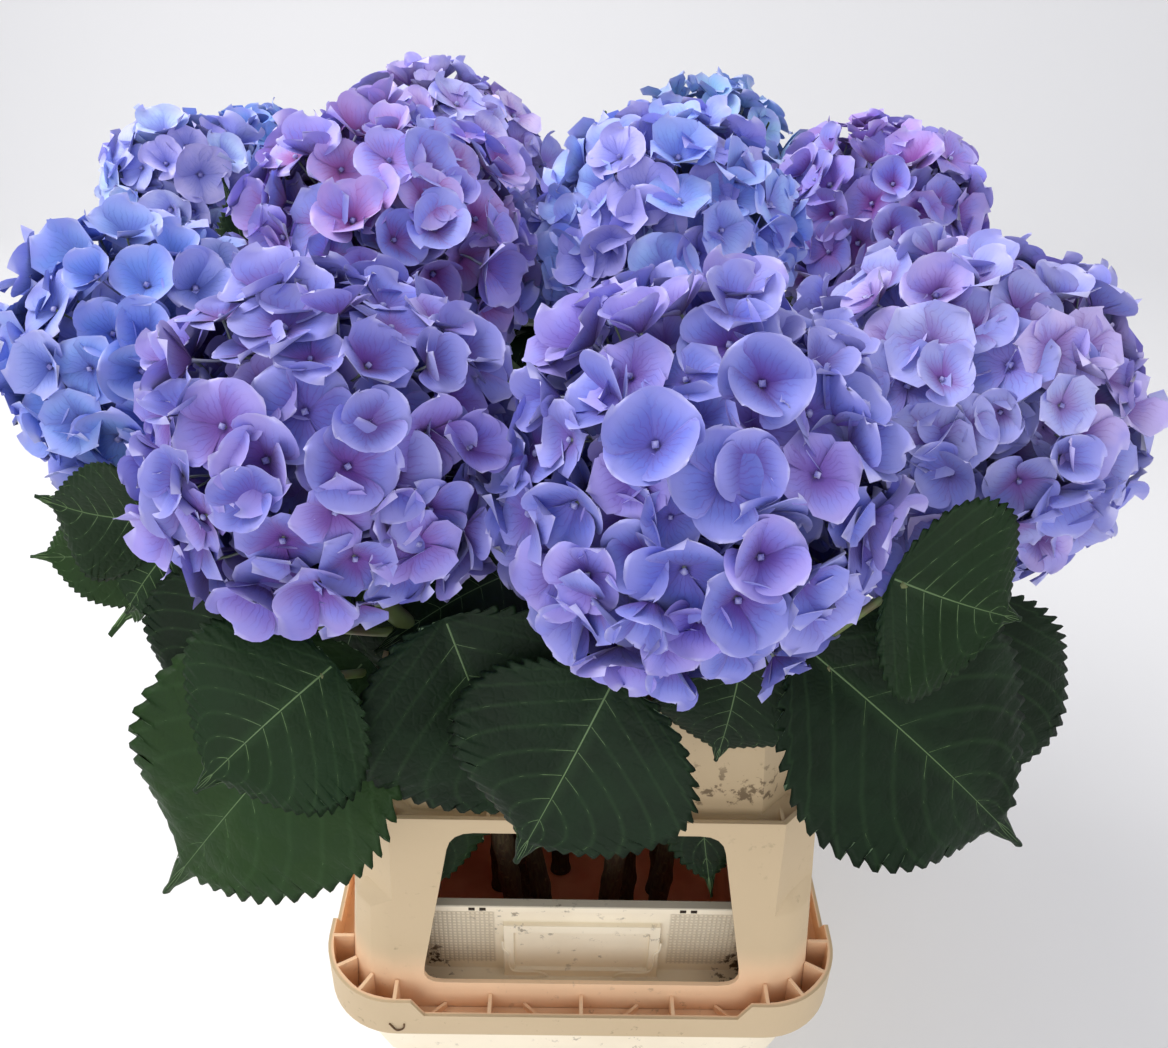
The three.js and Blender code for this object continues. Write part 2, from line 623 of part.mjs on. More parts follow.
for (const [name, { line, enters, seat, clear }] of Object.entries(lines)) {
  const stem = limb(line, 0, enters, stemRadius, STEM.sides, STEM.steps, true);
  model.add(named(`stem_${name}`, stem, BARK));
  model.add(named(`leaves_${name}`, leafMass(name, line, enters + clear, seat), GREEN));
  const petals = new THREE.MeshStandardMaterial({ color: PETAL_COLOURS[name], roughness: 0.6 });
  model.add(named(`bloom_${name}`, makeHead(name, line, seat + clear), petals));
}

export default model;
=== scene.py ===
"""Cut mophead hydrangeas standing in a flower bucket with a windowed collar."""

import math
from collections import namedtuple

import bmesh
import bpy
import numpy as np
from bpy.props import FloatProperty, FloatVectorProperty, IntProperty, PointerProperty
from mathutils import Matrix, Quaternion, Vector


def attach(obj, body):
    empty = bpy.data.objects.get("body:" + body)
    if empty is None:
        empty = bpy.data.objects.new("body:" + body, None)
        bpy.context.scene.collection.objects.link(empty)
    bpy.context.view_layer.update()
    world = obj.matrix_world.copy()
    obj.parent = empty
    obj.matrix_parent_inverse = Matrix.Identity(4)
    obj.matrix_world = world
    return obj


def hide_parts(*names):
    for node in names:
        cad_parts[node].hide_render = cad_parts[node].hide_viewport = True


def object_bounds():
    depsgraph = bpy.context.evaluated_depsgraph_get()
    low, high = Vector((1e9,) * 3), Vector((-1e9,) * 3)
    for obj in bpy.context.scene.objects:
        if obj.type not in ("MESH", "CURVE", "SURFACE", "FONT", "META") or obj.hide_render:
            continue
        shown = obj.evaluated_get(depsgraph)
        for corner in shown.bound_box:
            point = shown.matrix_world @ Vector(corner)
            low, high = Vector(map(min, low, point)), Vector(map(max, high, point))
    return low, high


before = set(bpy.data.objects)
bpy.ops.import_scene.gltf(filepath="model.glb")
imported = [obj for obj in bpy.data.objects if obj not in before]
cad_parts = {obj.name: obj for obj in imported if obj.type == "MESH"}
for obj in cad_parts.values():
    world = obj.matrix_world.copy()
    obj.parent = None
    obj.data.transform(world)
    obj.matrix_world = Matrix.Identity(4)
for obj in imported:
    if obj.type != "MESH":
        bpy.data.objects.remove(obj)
CAD_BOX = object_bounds()

bl_info = {
    "name": "Hydrangea Bunch",
    "version": (1, 0, 0),
    "blender": (4, 5, 0),
    "location": "View3D > Sidebar > Hydrangeas",
    "description": "Mophead hydrangeas with toothed leaves in a flower bucket",
    "category": "Add Mesh",
}

# ---- sizes and places, in metres

GAP = 0.0003
TUB_FLOOR = 0.003
NECK = {"x": 0.107, "y": 0.165, "corner": 0.019, "high": 0.388}
STEM = {
    "foot": 0.0072, "tip": 0.0052, "top": 0.0046, "joint": 0.0015, "joints": 5,
    "leaves_from": 0.374, "rings": 110, "gnarled": 0.05, "stalks": (0.0026, 0.0018),
}
# A head's own stalk: how deep it reaches as a share of the radius, and how far from the stem.
HEAD = {"seat": 0.62, "stalk": 0.0046, "stalk_length": 0.034, "clear": 0.002}
# The degrees from a head's axis over which it sinks, and to what share of its reach.
UNDERSIDE = {"from": 130, "to": 165, "share": 0.7}

Plant = namedtuple("Plant", "foot mouth head radius petals")
PLANTS = {
    "front_left": Plant((-0.03, -0.062), (-0.07, -0.132), (-0.112, -0.142, 0.514), 0.078, "lilac"),
    "front": Plant((0.01, -0.072), (0.03, -0.134), (0.037, -0.155, 0.508), 0.084, "periwinkle"),
    "right": Plant((0.045, -0.06), (0.088, -0.076), (0.171, -0.078, 0.501), 0.086, "light_lilac"),
    "left": Plant((0, -0.088), (-0.088, -0.056), (-0.215, -0.048, 0.508), 0.072, "blue"),
    "mid_left": Plant((-0.038, 0), (-0.062, 0.026), (-0.114, 0.036, 0.535), 0.079, "mauve"),
    "mid": Plant((0.036, -0.018), (0.038, 0.044), (0.04, 0.078, 0.529), 0.078, "cornflower"),
    "back_left": Plant((-0.06, 0.045), (-0.08, 0.082), (-0.277, 0.21, 0.512), 0.056, "blue_lilac"),
    "far_left": Plant((-0.045, 0.09), (-0.066, 0.132), (-0.26, 0.315, 0.501), 0.0495, "deep_blue"),
    "back": Plant((-0.012, 0.062), (-0.03, 0.132), (-0.106, 0.2, 0.517), 0.086, "violet"),
    "back_mid": Plant((0.024, 0.096), (0.04, 0.138), (0.081, 0.246, 0.525), 0.064, "pale_blue"),
    "back_right": Plant((0.066, 0.042), (0.086, 0.104), (0.186, 0.163, 0.515), 0.071, "purple"),
}

# A blade's form, by shares of its length, and how far it keeps from the heads.
LEAF = {
    "arch": 0.1, "fold": 0.16, "joined_at": 0.1, "clear": 0.003,
    "body": 0.865, "fullest": 0.8, "taper": 0.4, "drip": 1.0, "least": 0.03,
}
FACING = (0, -0.78, 0.62)
# Where a blade begins and ends, its width, the way its face looks, its green, where its stalk
# leaves the stem and how far that sags.
Leaf = namedtuple("Leaf", "base tip width facing green root sag", defaults=(0.0,))
AIMED_LEAVES = {
    "front_left": [
        ((-0.099, -0.176, 0.428), (-0.202, -0.196, 0.298), 0.124, FACING, 2),
        ((-0.108, -0.198, 0.443), (-0.164, -0.227, 0.398), 0.092, FACING, 1),
        ((-0.064, -0.18, 0.454), (-0.026, -0.202, 0.352), 0.11, FACING, 0),
        ((-0.148, -0.15, 0.44), (-0.198, -0.164, 0.386), 0.076, FACING, 0),
        ((-0.03, -0.096, 0.422), (-0.102, -0.15, 0.408), 0.084, (0, -0.5, 1), 0),
    ],
    "front": [
        ((0.008, -0.204, 0.444), (-0.032, -0.23, 0.362), 0.106, FACING, 0),
        ((0.09, -0.176, 0.44), (0.202, -0.194, 0.337), 0.12, FACING, 0),
        ((0.118, -0.188, 0.485), (0.174, -0.19, 0.467), 0.09, (0.1, -1, 0.25), 1, 0.05),
        ((0.066, -0.172, 0.434), (0.058, -0.18, 0.374), 0.072, FACING, 0),
        ((0.024, -0.108, 0.402), (-0.014, -0.172, 0.388), 0.062, (0, -0.5, 1), 0),
    ],
    "right": [
        ((0.19, -0.108, 0.418), (0.222, -0.128, 0.29), 0.084, (0.3, -0.9, 0.3), 0),
        ((0.176, -0.11, 0.37), (0.191, -0.138, 0.286), 0.06, (0.3, -0.9, 0.3), 0),
    ],
    "left": [
        ((-0.192, -0.118, 0.453), (-0.225, -0.124, 0.41), 0.082, FACING, 1),
        ((-0.205, -0.111, 0.442), (-0.266, -0.119, 0.439), 0.056, (0, -1, 0.15), 2),
        ((-0.198, -0.127, 0.467), (-0.248, -0.133, 0.482), 0.074, (-0.1, -1, -0.12), 1),
    ],
    "back_mid": [
        ((0.04, 0.165, 0.47), (0.006, 0.165, 0.584), 0.056, (0, 1, 0), 1),
        ((0.072, 0.165, 0.47), (0.109, 0.165, 0.58), 0.036, (0, 1, 0), 1),
    ],
    "back_left": [
        ((-0.196, 0.1, 0.472), (-0.214, 0.09, 0.56), 0.044, (0, -1, 0), 1),
    ],
}
# Leaves tucked in: two seen through the collar's front window, one in the gap behind the heads.
TUCKED = {
    "front_left": [
        ((-0.07, -0.118, 0.35), (-0.084, -0.148, 0.232), 0.062, (0.3, -0.9, 0.2), 1),
        ((-0.1, -0.1, 0.446), (-0.13, -0.114, 0.36), 0.088, (0, -0.9, 0.4), 0),
    ],
    "front": [((0.058, -0.118, 0.34), (0.072, -0.146, 0.236), 0.06, (-0.2, -0.9, 0.2), 0)],
}
# Leaves over the rim, by plant, in degrees round the collar's mouth from +X.
RIM_LEAVES = {
    "right": (-14, 12), "back_right": (33, 52), "back_mid": (70, 88), "back": (106,),
    "far_left": (121,), "back_left": (137,), "left": (158, 176, 196),
}
LAYERS = [
    {"out": 0.022, "up": 0.036, "fall": 58, "length": 0.124, "width": 0.092},
    {"out": 0.058, "up": 0.05, "fall": 40, "length": 0.132, "width": 0.096},
]
# The pair under a head, to both sides of the way it leans.
RUFF = {
    "plants": ("right", "mid_left", "mid", "back_left", "far_left", "back", "back_mid",
               "back_right"),
    "turns": (-58, 52), "reach": 1.12, "low": 0.66, "width": 0.95, "scales": (1, 0.85, 0.7),
    "below": 0.017, "stalk": 0.022,
}
# Smaller leaves that fill the bunch behind the front row, between the rim and the heads.
FILL = {
    "count": 5, "tries": 240, "front": -0.1, "low": 0.392, "apart": 0.006, "turned": 32,
    "lengths": (0.08, 0.115), "falls": (-25, 32), "turns": (-120, 120), "width": 0.74,
    "places": (0.2, 0.85), "stalk": 0.02, "rise": 0.01,
}
# Shares of a blade's length at which its room under a head is tested.
STATIONS = (0, 0.08, 0.34, 0.66, 0.86, 1)
# Where the first stalk of a kind leaves the leafy stretch of a stem, and the step to the next.
ROOTS = {"aimed": (0.3, 0.1), "rim": (0.4, 0.12)}
# Side veins, by shares of the blade: how they lean and sweep, and between what shares they run.
VEINS = {
    "pairs": 8, "start": 0.2, "lean": 0.2, "sweep": 0.14, "run": (0.015, 0.87),
    "from": 0.015, "to": 0.965, "midrib": 0.0009, "width": 0.0004, "proud": 0.0002,
}
# The flange's corner arcs: their centres, the radius they begin at and the depth over which they
# set in, their height, and how many degrees a facet has and into how many it is cut.
CORNER = {
    "x": 0.1005, "y": 0.153, "inner": 0.034, "soft": 0.005, "low": 0.17, "high": 0.206,
    "facet": 30, "cuts": 4,
}
# The square grid beside the label holder: from and to across, from and to in height, and its step.
GRID = {"across": (0.05, 0.094), "up": (0.184, 0.229), "step": 0.0026}
# Where the plastic's tones and dirt begin and end. On the tub: its front, its lip, and the soiled
# corners and foot of its front. On the collar: the channel's outer wall, the height of the painted
# glow in the channel, and the soiled ledge and neck.
TONED = {
    "front": (-0.15, -0.14), "lip": (0.2365, 0.2378), "corner": (0.062, 0.086),
    "foot": (0.176, 0.2), "channel": (0.0396, 0.041), "peach_glow": (0.2, 0.232),
    "ledge": (0.322, 0.33), "neck": (0.336, 0.37),
}

# The view: where it is taken from, in metres, its turns in degrees and its lens in millimetres.
VIEW = {"at": (-0.014, -0.548, 0.742), "down": 33.04, "yaw": 1.18, "roll": 1.77, "lens": 33.9}

# ---- finishes


def tone(web):
    """A linear colour from a six-digit web colour."""
    shares = [int(web[i:i + 2], 16) / 255 for i in (0, 2, 4)]
    linear = [s / 12.92 if s <= 0.04045 else ((s + 0.055) / 1.055) ** 2.4 for s in shares]
    return (*linear, 1.0)


# Four body colours that are dealt out by floret, the heart's colour and the finish's slot.
# Each head's bodies are partly its own tint and partly painted light: they were lightened head by
# head to how bright each head looks, most for the back heads and for heads in their neighbours'
# shade.
PETALS = {
    "lilac": (("636BC2", "7376CA", "7C80CC", "8C7DD0"), "6C3C96", "petal_lilac"),
    "periwinkle": (("6674CC", "717DD2", "8084D2", "9082D6"), "66429E", "petal_periwinkle"),
    "light_lilac": (("8C95DC", "9DA3E2", "AAAFE5", "C2B1EA"), "7F52A5", "petal_light_lilac"),
    "blue": (("7396E6", "82A4EB", "8CA8EA", "96A5E8"), "5565B8", "petal_blue"),
    "mauve": (("AA9EEE", "B89FE2", "9EA8F6", "BE9CE2"), "9C4FA0", "petal_mauve"),
    "cornflower": (("90B2FA", "9EC0FE", "9FB4F8", "ACA8F0"), "6F6FCB", "petal_periwinkle"),
    "blue_lilac": (("B2CFFF", "C4DCFF", "C3CBFC", "CBC6F8"), "7E83D7", "petal_blue"),
    "deep_blue": (("69A5EB", "77B1F1", "7CADEF", "88A8E8"), "5176C3", "petal_deep_blue"),
    "violet": (("C8C6F8", "E0D8FD", "BCBEF6", "E2CEF5"), "936CC2", "petal_light_lilac"),
    "pale_blue": (("8FBCEA", "A1CDF0", "98BCEA", "AAC2EC"), "779BC8", "petal_pale_blue"),
    "purple": (("A089E4", "B09DEA", "9A96E8", "BA94E0"), "8B449F", "petal_purple"),
}
# How strongly the heart's colour runs out, for each of the four.
FLUSHES = (0.5, 1.0, 0.8, 0.95)
GREENS = ("122111", "182B14", "243B19")


class Value:
    """One output of a node, used as a term of a written expression."""

    def __init__(self, tree, socket):
        self.tree, self.socket = tree, socket

    def __add__(self, other):
        return self.tree.sum("ADD", self, other)

    def __radd__(self, other):
        return self.tree.sum("ADD", other, self)

    def __sub__(self, other):
        return self.tree.sum("SUBTRACT", self, other)

    def __rsub__(self, other):
        return self.tree.sum("SUBTRACT", other, self)

    def __mul__(self, other):
        return self.tree.sum("MULTIPLY", self, other)

    def __rmul__(self, other):
        return self.tree.sum("MULTIPLY", other, self)

    def __abs__(self):
        return self.tree.sum("ABSOLUTE", self)


class Tree:
    """A node tree that is written as expressions."""

    def __init__(self, tree):
        self.tree = tree

    def node(self, kind, inputs=(), output=0, **settings):
        """Adds a node: its settings first, then the values or links of its sockets."""
        made = self.tree.nodes.new(kind)
        for key, setting in settings.items():
            setattr(made, key, setting)
        pairs = inputs.items() if isinstance(inputs, dict) else enumerate(inputs)
        for key, value in pairs:
            self.put(made.inputs[key], value)
        return Value(self, made.outputs[output])

    def put(self, socket, value):
        if isinstance(value, Value):
            self.tree.links.new(value.socket, socket)
        elif value is not None:
            socket.default_value = value

    def sum(self, operation, *terms):
        return self.node("ShaderNodeMath", terms, operation=operation)

    def axes(self, vector):
        made = self.node("ShaderNodeSeparateXYZ", [vector]).socket.node
        return [Value(self, made.outputs[i]) for i in range(3)]

    def blend(self, share, low, high):
        """Mixes two colours."""
        return self.node("ShaderNodeMix", {0: share, 6: low, 7: high}, output=2,
                         data_type="RGBA")

    def ease(self, value, low, high):
        """0 at low and 1 at high, with a soft start and end."""
        return self.node("ShaderNodeMapRange", [value, low, high, 0.0, 1.0],
                         interpolation_type="SMOOTHSTEP")

    def noise(self, place, scale, detail=3.0, rough=0.5):
        return self.node("ShaderNodeTexNoise", {
            "Vector": place, "Scale": scale, "Detail": detail, "Roughness": rough})

    def place(self):
        return self.node("ShaderNodeTexCoord", output=3)

    def uv(self):
        """The piece's own map, as its two shares."""
        return self.axes(self.node("ShaderNodeUVMap", uv_map="UVMap"))[:2]

    def bump(self, height, depth, strength=1.0):
        return self.node("ShaderNodeBump", {
            "Height": height, "Distance": depth, "Strength": strength})


def finish(name, paint, **constants):
    """A material whose paint function gives the links of its shader, with constants on the rest."""
    made = bpy.data.materials.new(name)
    made.use_nodes = True
    tree = Tree(made.node_tree)
    shader = made.node_tree.nodes["Principled BSDF"]
    for key, value in constants.items():
        shader.inputs[key.replace("_", " ")].default_value = value
    for key, value in paint(tree).items():
        tree.put(shader.inputs[key], value)
    return made


def petal_finish(name, body, heart, flushed):
    """Sepals: a flushed heart, faint veins, a bluer middle, a soft mottle, painted shade on the
    claws, and a paler rim that is partly pale margin and partly painted highlight.
    """
    def paint(tree):
        out, across = tree.uv()
        place = tree.place()
        mottle = tree.noise(place, 70.0)
        blotch = tree.noise(place, 260.0, 2.0)
        side = abs(across - 0.5) * 2
        flush = 1 - tree.ease(out + 0.35 * (mottle - 0.5), 0.02, 0.72)
        edge = tree.sum("MAXIMUM", out, side * (0.6 + 0.4 * out))
        rim = tree.ease(edge, 0.9, 1.0)
        ray = tree.sum("PINGPONG", across * 9 + 1.6 * blotch + 0.8 * mottle, 0.5) * 2
        vein = (1 - tree.ease(ray, 0.0, 0.3)) * (1 - tree.ease(out, 0.35, 0.9))
        blue = tree.blend(tree.ease(mottle, 0.4, 0.66) * 0.5, body, tone("7884E4"))
        soft = tree.blend(tree.ease(edge, 0.45, 0.95) * 0.35, blue, tone("C6BCF3"))
        flushing = tree.blend(flush * flushed, soft, heart)
        veined = tree.blend(vein * 0.36, flushing, heart)
        # Painted shade: the claws round the heart darken toward dark indigo, where the gaps between
        # them lie in shadow.
        deep = tree.blend((1 - tree.ease(out, 0.04, 0.15)) * 0.45, veined, tone("3C2A70"))
        # The paler rim is partly the sepal's own pale margin and partly a painted highlight of
        # light through the thin edge.
        shade = tree.blend(rim * 0.42, deep, tone("E2DEFC"))
        height = 0.5 * blotch - 0.35 * vein + 0.4 * mottle
        return {"Base Color": shade, "Normal": tree.bump(height, 0.0005, 0.5)}
    return finish(name, paint, Roughness=0.5, Sheen_Weight=0.2, Specular_IOR_Level=0.3)


def plain_finish(name, colour, spread, scale, roughness, depth=0.0003):
    """A plain colour with a soft natural mottle."""
    def paint(tree):
        mottle = tree.noise(tree.place(), scale)
        return {
            "Base Color": tree.blend(tree.ease(mottle, 0.3, 0.75), colour, spread),
            "Normal": tree.bump(mottle, depth),
        }
    return finish(name, paint, Roughness=roughness)


def leaf_finish(name, green):
    """The upper side of a leaf: quilted between its side veins, with a fresh glow along them."""
    dark = tone(green)

    def paint(tree):
        along, across = tree.uv()
        side = abs(across - 0.5) * 2
        place = tree.place()
        mottle = tree.noise(place, 45.0)
        mesh = tree.node("ShaderNodeTexVoronoi", {"Vector": place, "Scale": 260.0},
                         feature="DISTANCE_TO_EDGE")
        row = tree.sum("PINGPONG", vein_count(along, side), 0.5) * 2
        near = 1 - tree.ease(row, 0.0, 0.3)
        spine = 1 - tree.ease(side, 0.0, 0.12)
        glow = tree.sum("MAXIMUM", near * 0.14, spine * 0.16)
        fresh = tree.blend(glow, dark, tone("42603A"))
        cool = tree.blend(tree.ease(mottle, 0.35, 0.7) * 0.35, fresh, tone("203620"))
        height = tree.ease(mesh, 0.0, 0.25) + mottle
        return {
            "Base Color": cool,
            "Roughness": 0.42 + 0.18 * mottle,
            "Normal": tree.bump(height, 0.0005, 0.22),
        }
    return finish(name, paint, Specular_IOR_Level=0.14)


def vein_count(along, side):
    """Whole numbers of this lie on the side veins, which sweep to the tip as they run out."""
    slant = VEINS["lean"] * side + VEINS["sweep"] * side * side
    return (along - slant) * VEINS["pairs"] + VEINS["start"]


def bark_finish(name, base, light):
    """Woody stems: long streaks, pale corky spots and rough knots."""
    def paint(tree):
        along, around = tree.uv()
        place = tree.place()
        grain = tree.node("ShaderNodeCombineXYZ", [around * 9, along * 14, 0.0])
        streak = tree.noise(grain, 3.0, 4.0)
        spot = tree.node("ShaderNodeTexVoronoi", {"Vector": place, "Scale": 190.0})
        cork = 1 - tree.ease(spot, 0.1, 0.3)
        wood = tree.blend(tree.ease(streak, 0.35, 0.7), base, light)
        spots = tree.blend(cork * 0.55, wood, tone("7B6C4A"))
        return {
            "Base Color": spots,
            "Normal": tree.bump(streak + 0.6 * cork, 0.0009),
        }
    return finish(name, paint, Roughness=0.78)


def plastic_finish(name, body, dirt, detail):
    """Moulded plastic with scuffs and brown specks. The detail gives tone, soiling and relief."""
    def paint(tree):
        place = tree.place()
        cloud = tree.noise(place, 9.0, 5.0, 0.6)
        fine = tree.noise(place, 240.0, 2.0)
        speck = tree.noise(place, 150.0, 4.0, 0.65)
        tinted, soil, relief = detail(tree, tree.axes(place), cloud, body)
        worn = tree.blend(tree.ease(cloud, 0.45, 0.8) * 0.2, tinted, tone("B79F7A"))
        stain = tree.ease(speck - 0.2 * soil, 0.6, 0.7) * tree.ease(cloud, 0.42, 0.66)
        spots = tree.ease(speck + 0.16 * soil, 0.66, 0.74) * soil
        shade = tree.sum("MAXIMUM", stain * dirt, spots)
        soiled = tree.blend(shade, tree.blend(soil * 0.3, worn, tone("8F7550")), tone("4C3822"))
        return {
            "Base Color": soiled,
            "Roughness": 0.45 + 0.25 * cloud + 0.2 * shade,
            "Normal": tree.bump(fine * 0.3 + relief, 0.0006, 0.6),
        }
    return finish(name, paint, Specular_IOR_Level=0.35)


def band(tree, value, low, high, soft=0.002):
    """1 between two values and 0 outside them, with soft ends."""
    return tree.ease(value, low - soft, low) * (1 - tree.ease(value, high, high + soft))


def tub_detail(tree, axes, cloud, body):
    """The tub's front: a fine square grid beside the label holder, brown in its lower corners."""
    x, y, z = axes
    front = 1 - tree.ease(y, *TONED["front"])
    far = abs(x)
    grid = band(tree, far, *GRID["across"]) * band(tree, z, *GRID["up"]) * front
    bars = [tree.ease(tree.sum("PINGPONG", axis * (1 / GRID["step"]), 0.5) * 2, 0.25, 0.6)
            for axis in (x, z)]
    studs = bars[0] * bars[1]
    aside = far - 0.5 * (z - 0.18) + 0.03 * (cloud - 0.5)
    corner = tree.ease(aside, *TONED["corner"]) * front
    soil = corner * band(tree, z, *TONED["foot"], 0.02) + 0.22 * grid
    hollow = tree.blend(grid * (1 - studs) * 0.32, body, tone("8C7654"))
    lip = tree.ease(z, *TONED["lip"])
    return tree.blend(lip * 0.45, hollow, tone("8F897A")), soil, grid * studs * 1.4


def collar_detail(peach_glow):
    """The collar: a painted pale orange glow low in the flange's channel, for light through the
    plastic, cream above it, soiled round its neck.
    """
    def detail(tree, axes, cloud, body):
        x, y, z = axes
        past = [tree.sum("MAXIMUM", abs(axis) - CORNER[key], 0.0)
                for axis, key in ((x, "x"), (y, "y"))]
        reach = tree.sum("SQRT", past[0] * past[0] + past[1] * past[1])
        inside = 1 - tree.ease(reach, *TONED["channel"])
        # Painted light: a pale orange glow low in the channel, standing for light through the cream
        # plastic.
        glow = inside * (1 - tree.ease(z + 0.02 * (cloud - 0.5), *TONED["peach_glow"]))
        soil = tree.ease(z, *TONED["ledge"]) * (1 - tree.ease(z, *TONED["neck"])) * 0.75
        return tree.blend(glow, body, peach_glow), soil, 0.2 * cloud
    return detail


# ---- meshes


def placed(name, data):
    """An object for some data, in the scene."""
    made = bpy.data.objects.new(name, data)
    bpy.context.scene.collection.objects.link(made)
    return made


class Skin:
    """Gathers grids of points, each with its share of a map and its finish, into one mesh."""

    def __init__(self):
        self.points, self.maps, self.quads, self.slots, self.caps = [], [], [], [], []
        self.count = 0

    def grid(self, points, shares, slot=0, closed=False, turned=False):
        """Adds rows of points. Where it is closed, the last column meets the first."""
        rows, columns = points.shape[:2]
        index = self.count + np.arange(rows * columns).reshape(rows, columns)
        if closed:
            index = np.hstack([index, index[:, :1]])
        corners = [index[:-1, :-1], index[:-1, 1:], index[1:, 1:], index[1:, :-1]]
        if turned:
            corners.reverse()
        quads = np.stack(corners, -1).reshape(-1, 4)
        self.points.append(points.reshape(-1, 3))
        self.maps.append(np.broadcast_to(shares, (rows, columns, 2)).reshape(-1, 2))
        self.quads.append(quads)
        self.slots.append(np.full(len(quads), slot))
        self.count += rows * columns
        return index

    def cap(self, ring, slot=0):
        """Closes a ring of points with one face."""
        self.caps.append(([int(i) for i in ring], slot))

    def piece(self, name, materials, merge=0.0):
        """The joined mesh, in one object at the origin."""
        mesh = bpy.data.meshes.new(name)
        quads = np.concatenate(self.quads).tolist() + [ring for ring, _ in self.caps]
        mesh.from_pydata(np.concatenate(self.points), [], quads, shade_flat=False)
        slots = np.concatenate([*self.slots, [slot for _, slot in self.caps]]).astype(np.int32)
        mesh.polygons.foreach_set("material_index", slots)
        corner = np.empty(len(mesh.loops), np.int32)
        mesh.loops.foreach_get("vertex_index", corner)
        layer = mesh.uv_layers.new(name="UVMap")
        layer.data.foreach_set("uv", np.concatenate(self.maps)[corner].astype(np.float32).ravel())
        for material in materials:
            mesh.materials.append(material)
        if merge:
            shape = bmesh.new()
            shape.from_mesh(mesh)
            bmesh.ops.remove_doubles(shape, verts=shape.verts, dist=merge)
            shape.to_mesh(mesh)
            shape.free()
        mesh.update()
        return placed(name, mesh)


def unit(vector):
    vector = np.asarray(vector, float)
    return vector / np.linalg.norm(vector, axis=-1, keepdims=True)


def tube(skin, path, radii, sides, slot=0):
    """A closed tube along a path, with rings that follow it without twisting."""
    path = np.asarray(path, float)
    ways = unit(np.gradient(path, axis=0))
    side = np.cross(ways[0], (0.3, 1, 0.1))
    angles = np.arange(sides) * 2 * math.pi / sides
    rings = []
    for place, way, radius in zip(path, ways, np.broadcast_to(radii, len(path))):
        side = unit(side - way * (side @ way))
        other = np.cross(way, side)
        spoke = np.outer(np.cos(angles), side) + np.outer(np.sin(angles), other)
        rings.append(place + radius * spoke)
    shares = np.stack(np.meshgrid(
        np.linspace(0, 1, len(path)), angles / (2 * math.pi), indexing="ij"), -1)
    index = skin.grid(np.array(rings), shares, slot, closed=True)
    skin.cap(index[0, -2::-1], slot)
    skin.cap(index[-1, :-1], slot)


class Line:
    """A smooth line through a few places, read by its share of its own length."""

    def __init__(self, places, steps=400):
        places = np.array(places, float)
        first, last = 2 * places[0] - places[1], 2 * places[-1] - places[-2]
        knots = np.vstack([first, places, last])
        pieces = [self.stretch(*knots[i:i + 4], np.linspace(0, 1, steps + 1))
                  for i in range(len(places) - 1)]
        self.path = np.vstack([pieces[0], *[piece[1:] for piece in pieces[1:]]])
        far = np.linalg.norm(np.diff(self.path, axis=0), axis=1)
        self.far = np.concatenate([[0], np.cumsum(far)])
        self.length = self.far[-1]

    @staticmethod
    def stretch(before, start, end, after, shares):
        """A centripetal curve from start to end."""
        d0, d1, d2 = [math.sqrt(np.linalg.norm(b - a)) for a, b in
                      ((before, start), (start, end), (end, after))]
        leave = ((start - before) / d0 - (end - before) / (d0 + d1) + (end - start) / d1) * d1
        enter = ((end - start) / d1 - (after - start) / (d1 + d2) + (after - end) / d2) * d1
        u = shares[:, None]
        return (start + leave * u + (3 * (end - start) - 2 * leave - enter) * u ** 2
                + (2 * (start - end) + leave + enter) * u ** 3)

    def at(self, share):
        far = np.asarray(share) * self.length
        return np.stack([np.interp(far, self.far, self.path[:, i]) for i in range(3)], -1)

    def part(self, start, end, count):
        return self.at(np.linspace(start, end, count))

    def share_at(self, height):
        return float(np.interp(height, self.path[:, 2], self.far)) / self.length


# ---- the bunch's rule


def head_axis(plant):
    """Which way a head looks: half way between straight up and away from the bunch."""
    out = unit(np.subtract(plant.head, (*plant.mouth, NECK["high"])))
    return unit(out + (0, 0, 1))


def stem_line(plant):
    """A plant's line from its foot by the collar's mouth to its head."""
    axis = head_axis(plant)
    seat = plant.head - axis * HEAD["seat"] * plant.radius
    below = seat - axis * HEAD["stalk_length"]
    return Line([(*plant.foot, TUB_FLOOR + GAP), (*plant.mouth, NECK["high"]), below, seat])


LINES = {name: stem_line(plant) for name, plant in PLANTS.items()}


def enters(name):
    """The share of the stem's line where the leaves begin."""
    return LINES[name].share_at(STEM["leaves_from"])


def seat(name):
    """The share of the stem's line where the head's own stalk begins."""
    return 1 - (HEAD["stalk_length"] + HEAD["clear"]) / LINES[name].length


def neighbours(plant):
    """For each other head, the way to it and how far off the plane lies where the two press."""
    for other in PLANTS.values():
        toward = np.subtract(other.head, plant.head)
        apart = np.linalg.norm(toward)
        if apart > 0:
            plane = (apart ** 2 + plant.radius ** 2 - other.radius ** 2) / (2 * apart)
            yield toward / apart, plane


def head_reach(name, ways):
    """How far a head reaches, with its hollow underside and its pressed sides."""
    plant = PLANTS[name]
    ways = unit(ways)
    tilt = np.degrees(np.arccos(np.clip(ways @ head_axis(plant), -1, 1)))
    share = np.clip((tilt - UNDERSIDE["from"]) / (UNDERSIDE["to"] - UNDERSIDE["from"]), 0, 1)
    far = plant.radius * (1 - (1 - UNDERSIDE["share"]) * share * share * (3 - 2 * share))
    for toward, plane in neighbours(plant):
        facing = ways @ toward
        pressed = (plane - GAP / 2) / np.maximum(facing, 1e-6)
        far = np.where(facing > 0, np.minimum(far, pressed), far)
    return far


def is_clear(name, points):
    """Whether points are clear of every head, and on their own side of the neighbours."""
    for other_name, other in PLANTS.items():
        ways = points - other.head
        far = np.linalg.norm(ways, axis=-1)
        if (far < np.minimum(other.radius, head_reach(other_name, ways)) + LEAF["clear"]).any():
            return False
    own = PLANTS[name]
    return all(((points - own.head) @ toward <= plane - LEAF["clear"]).all()
               for toward, plane in neighbours(own))


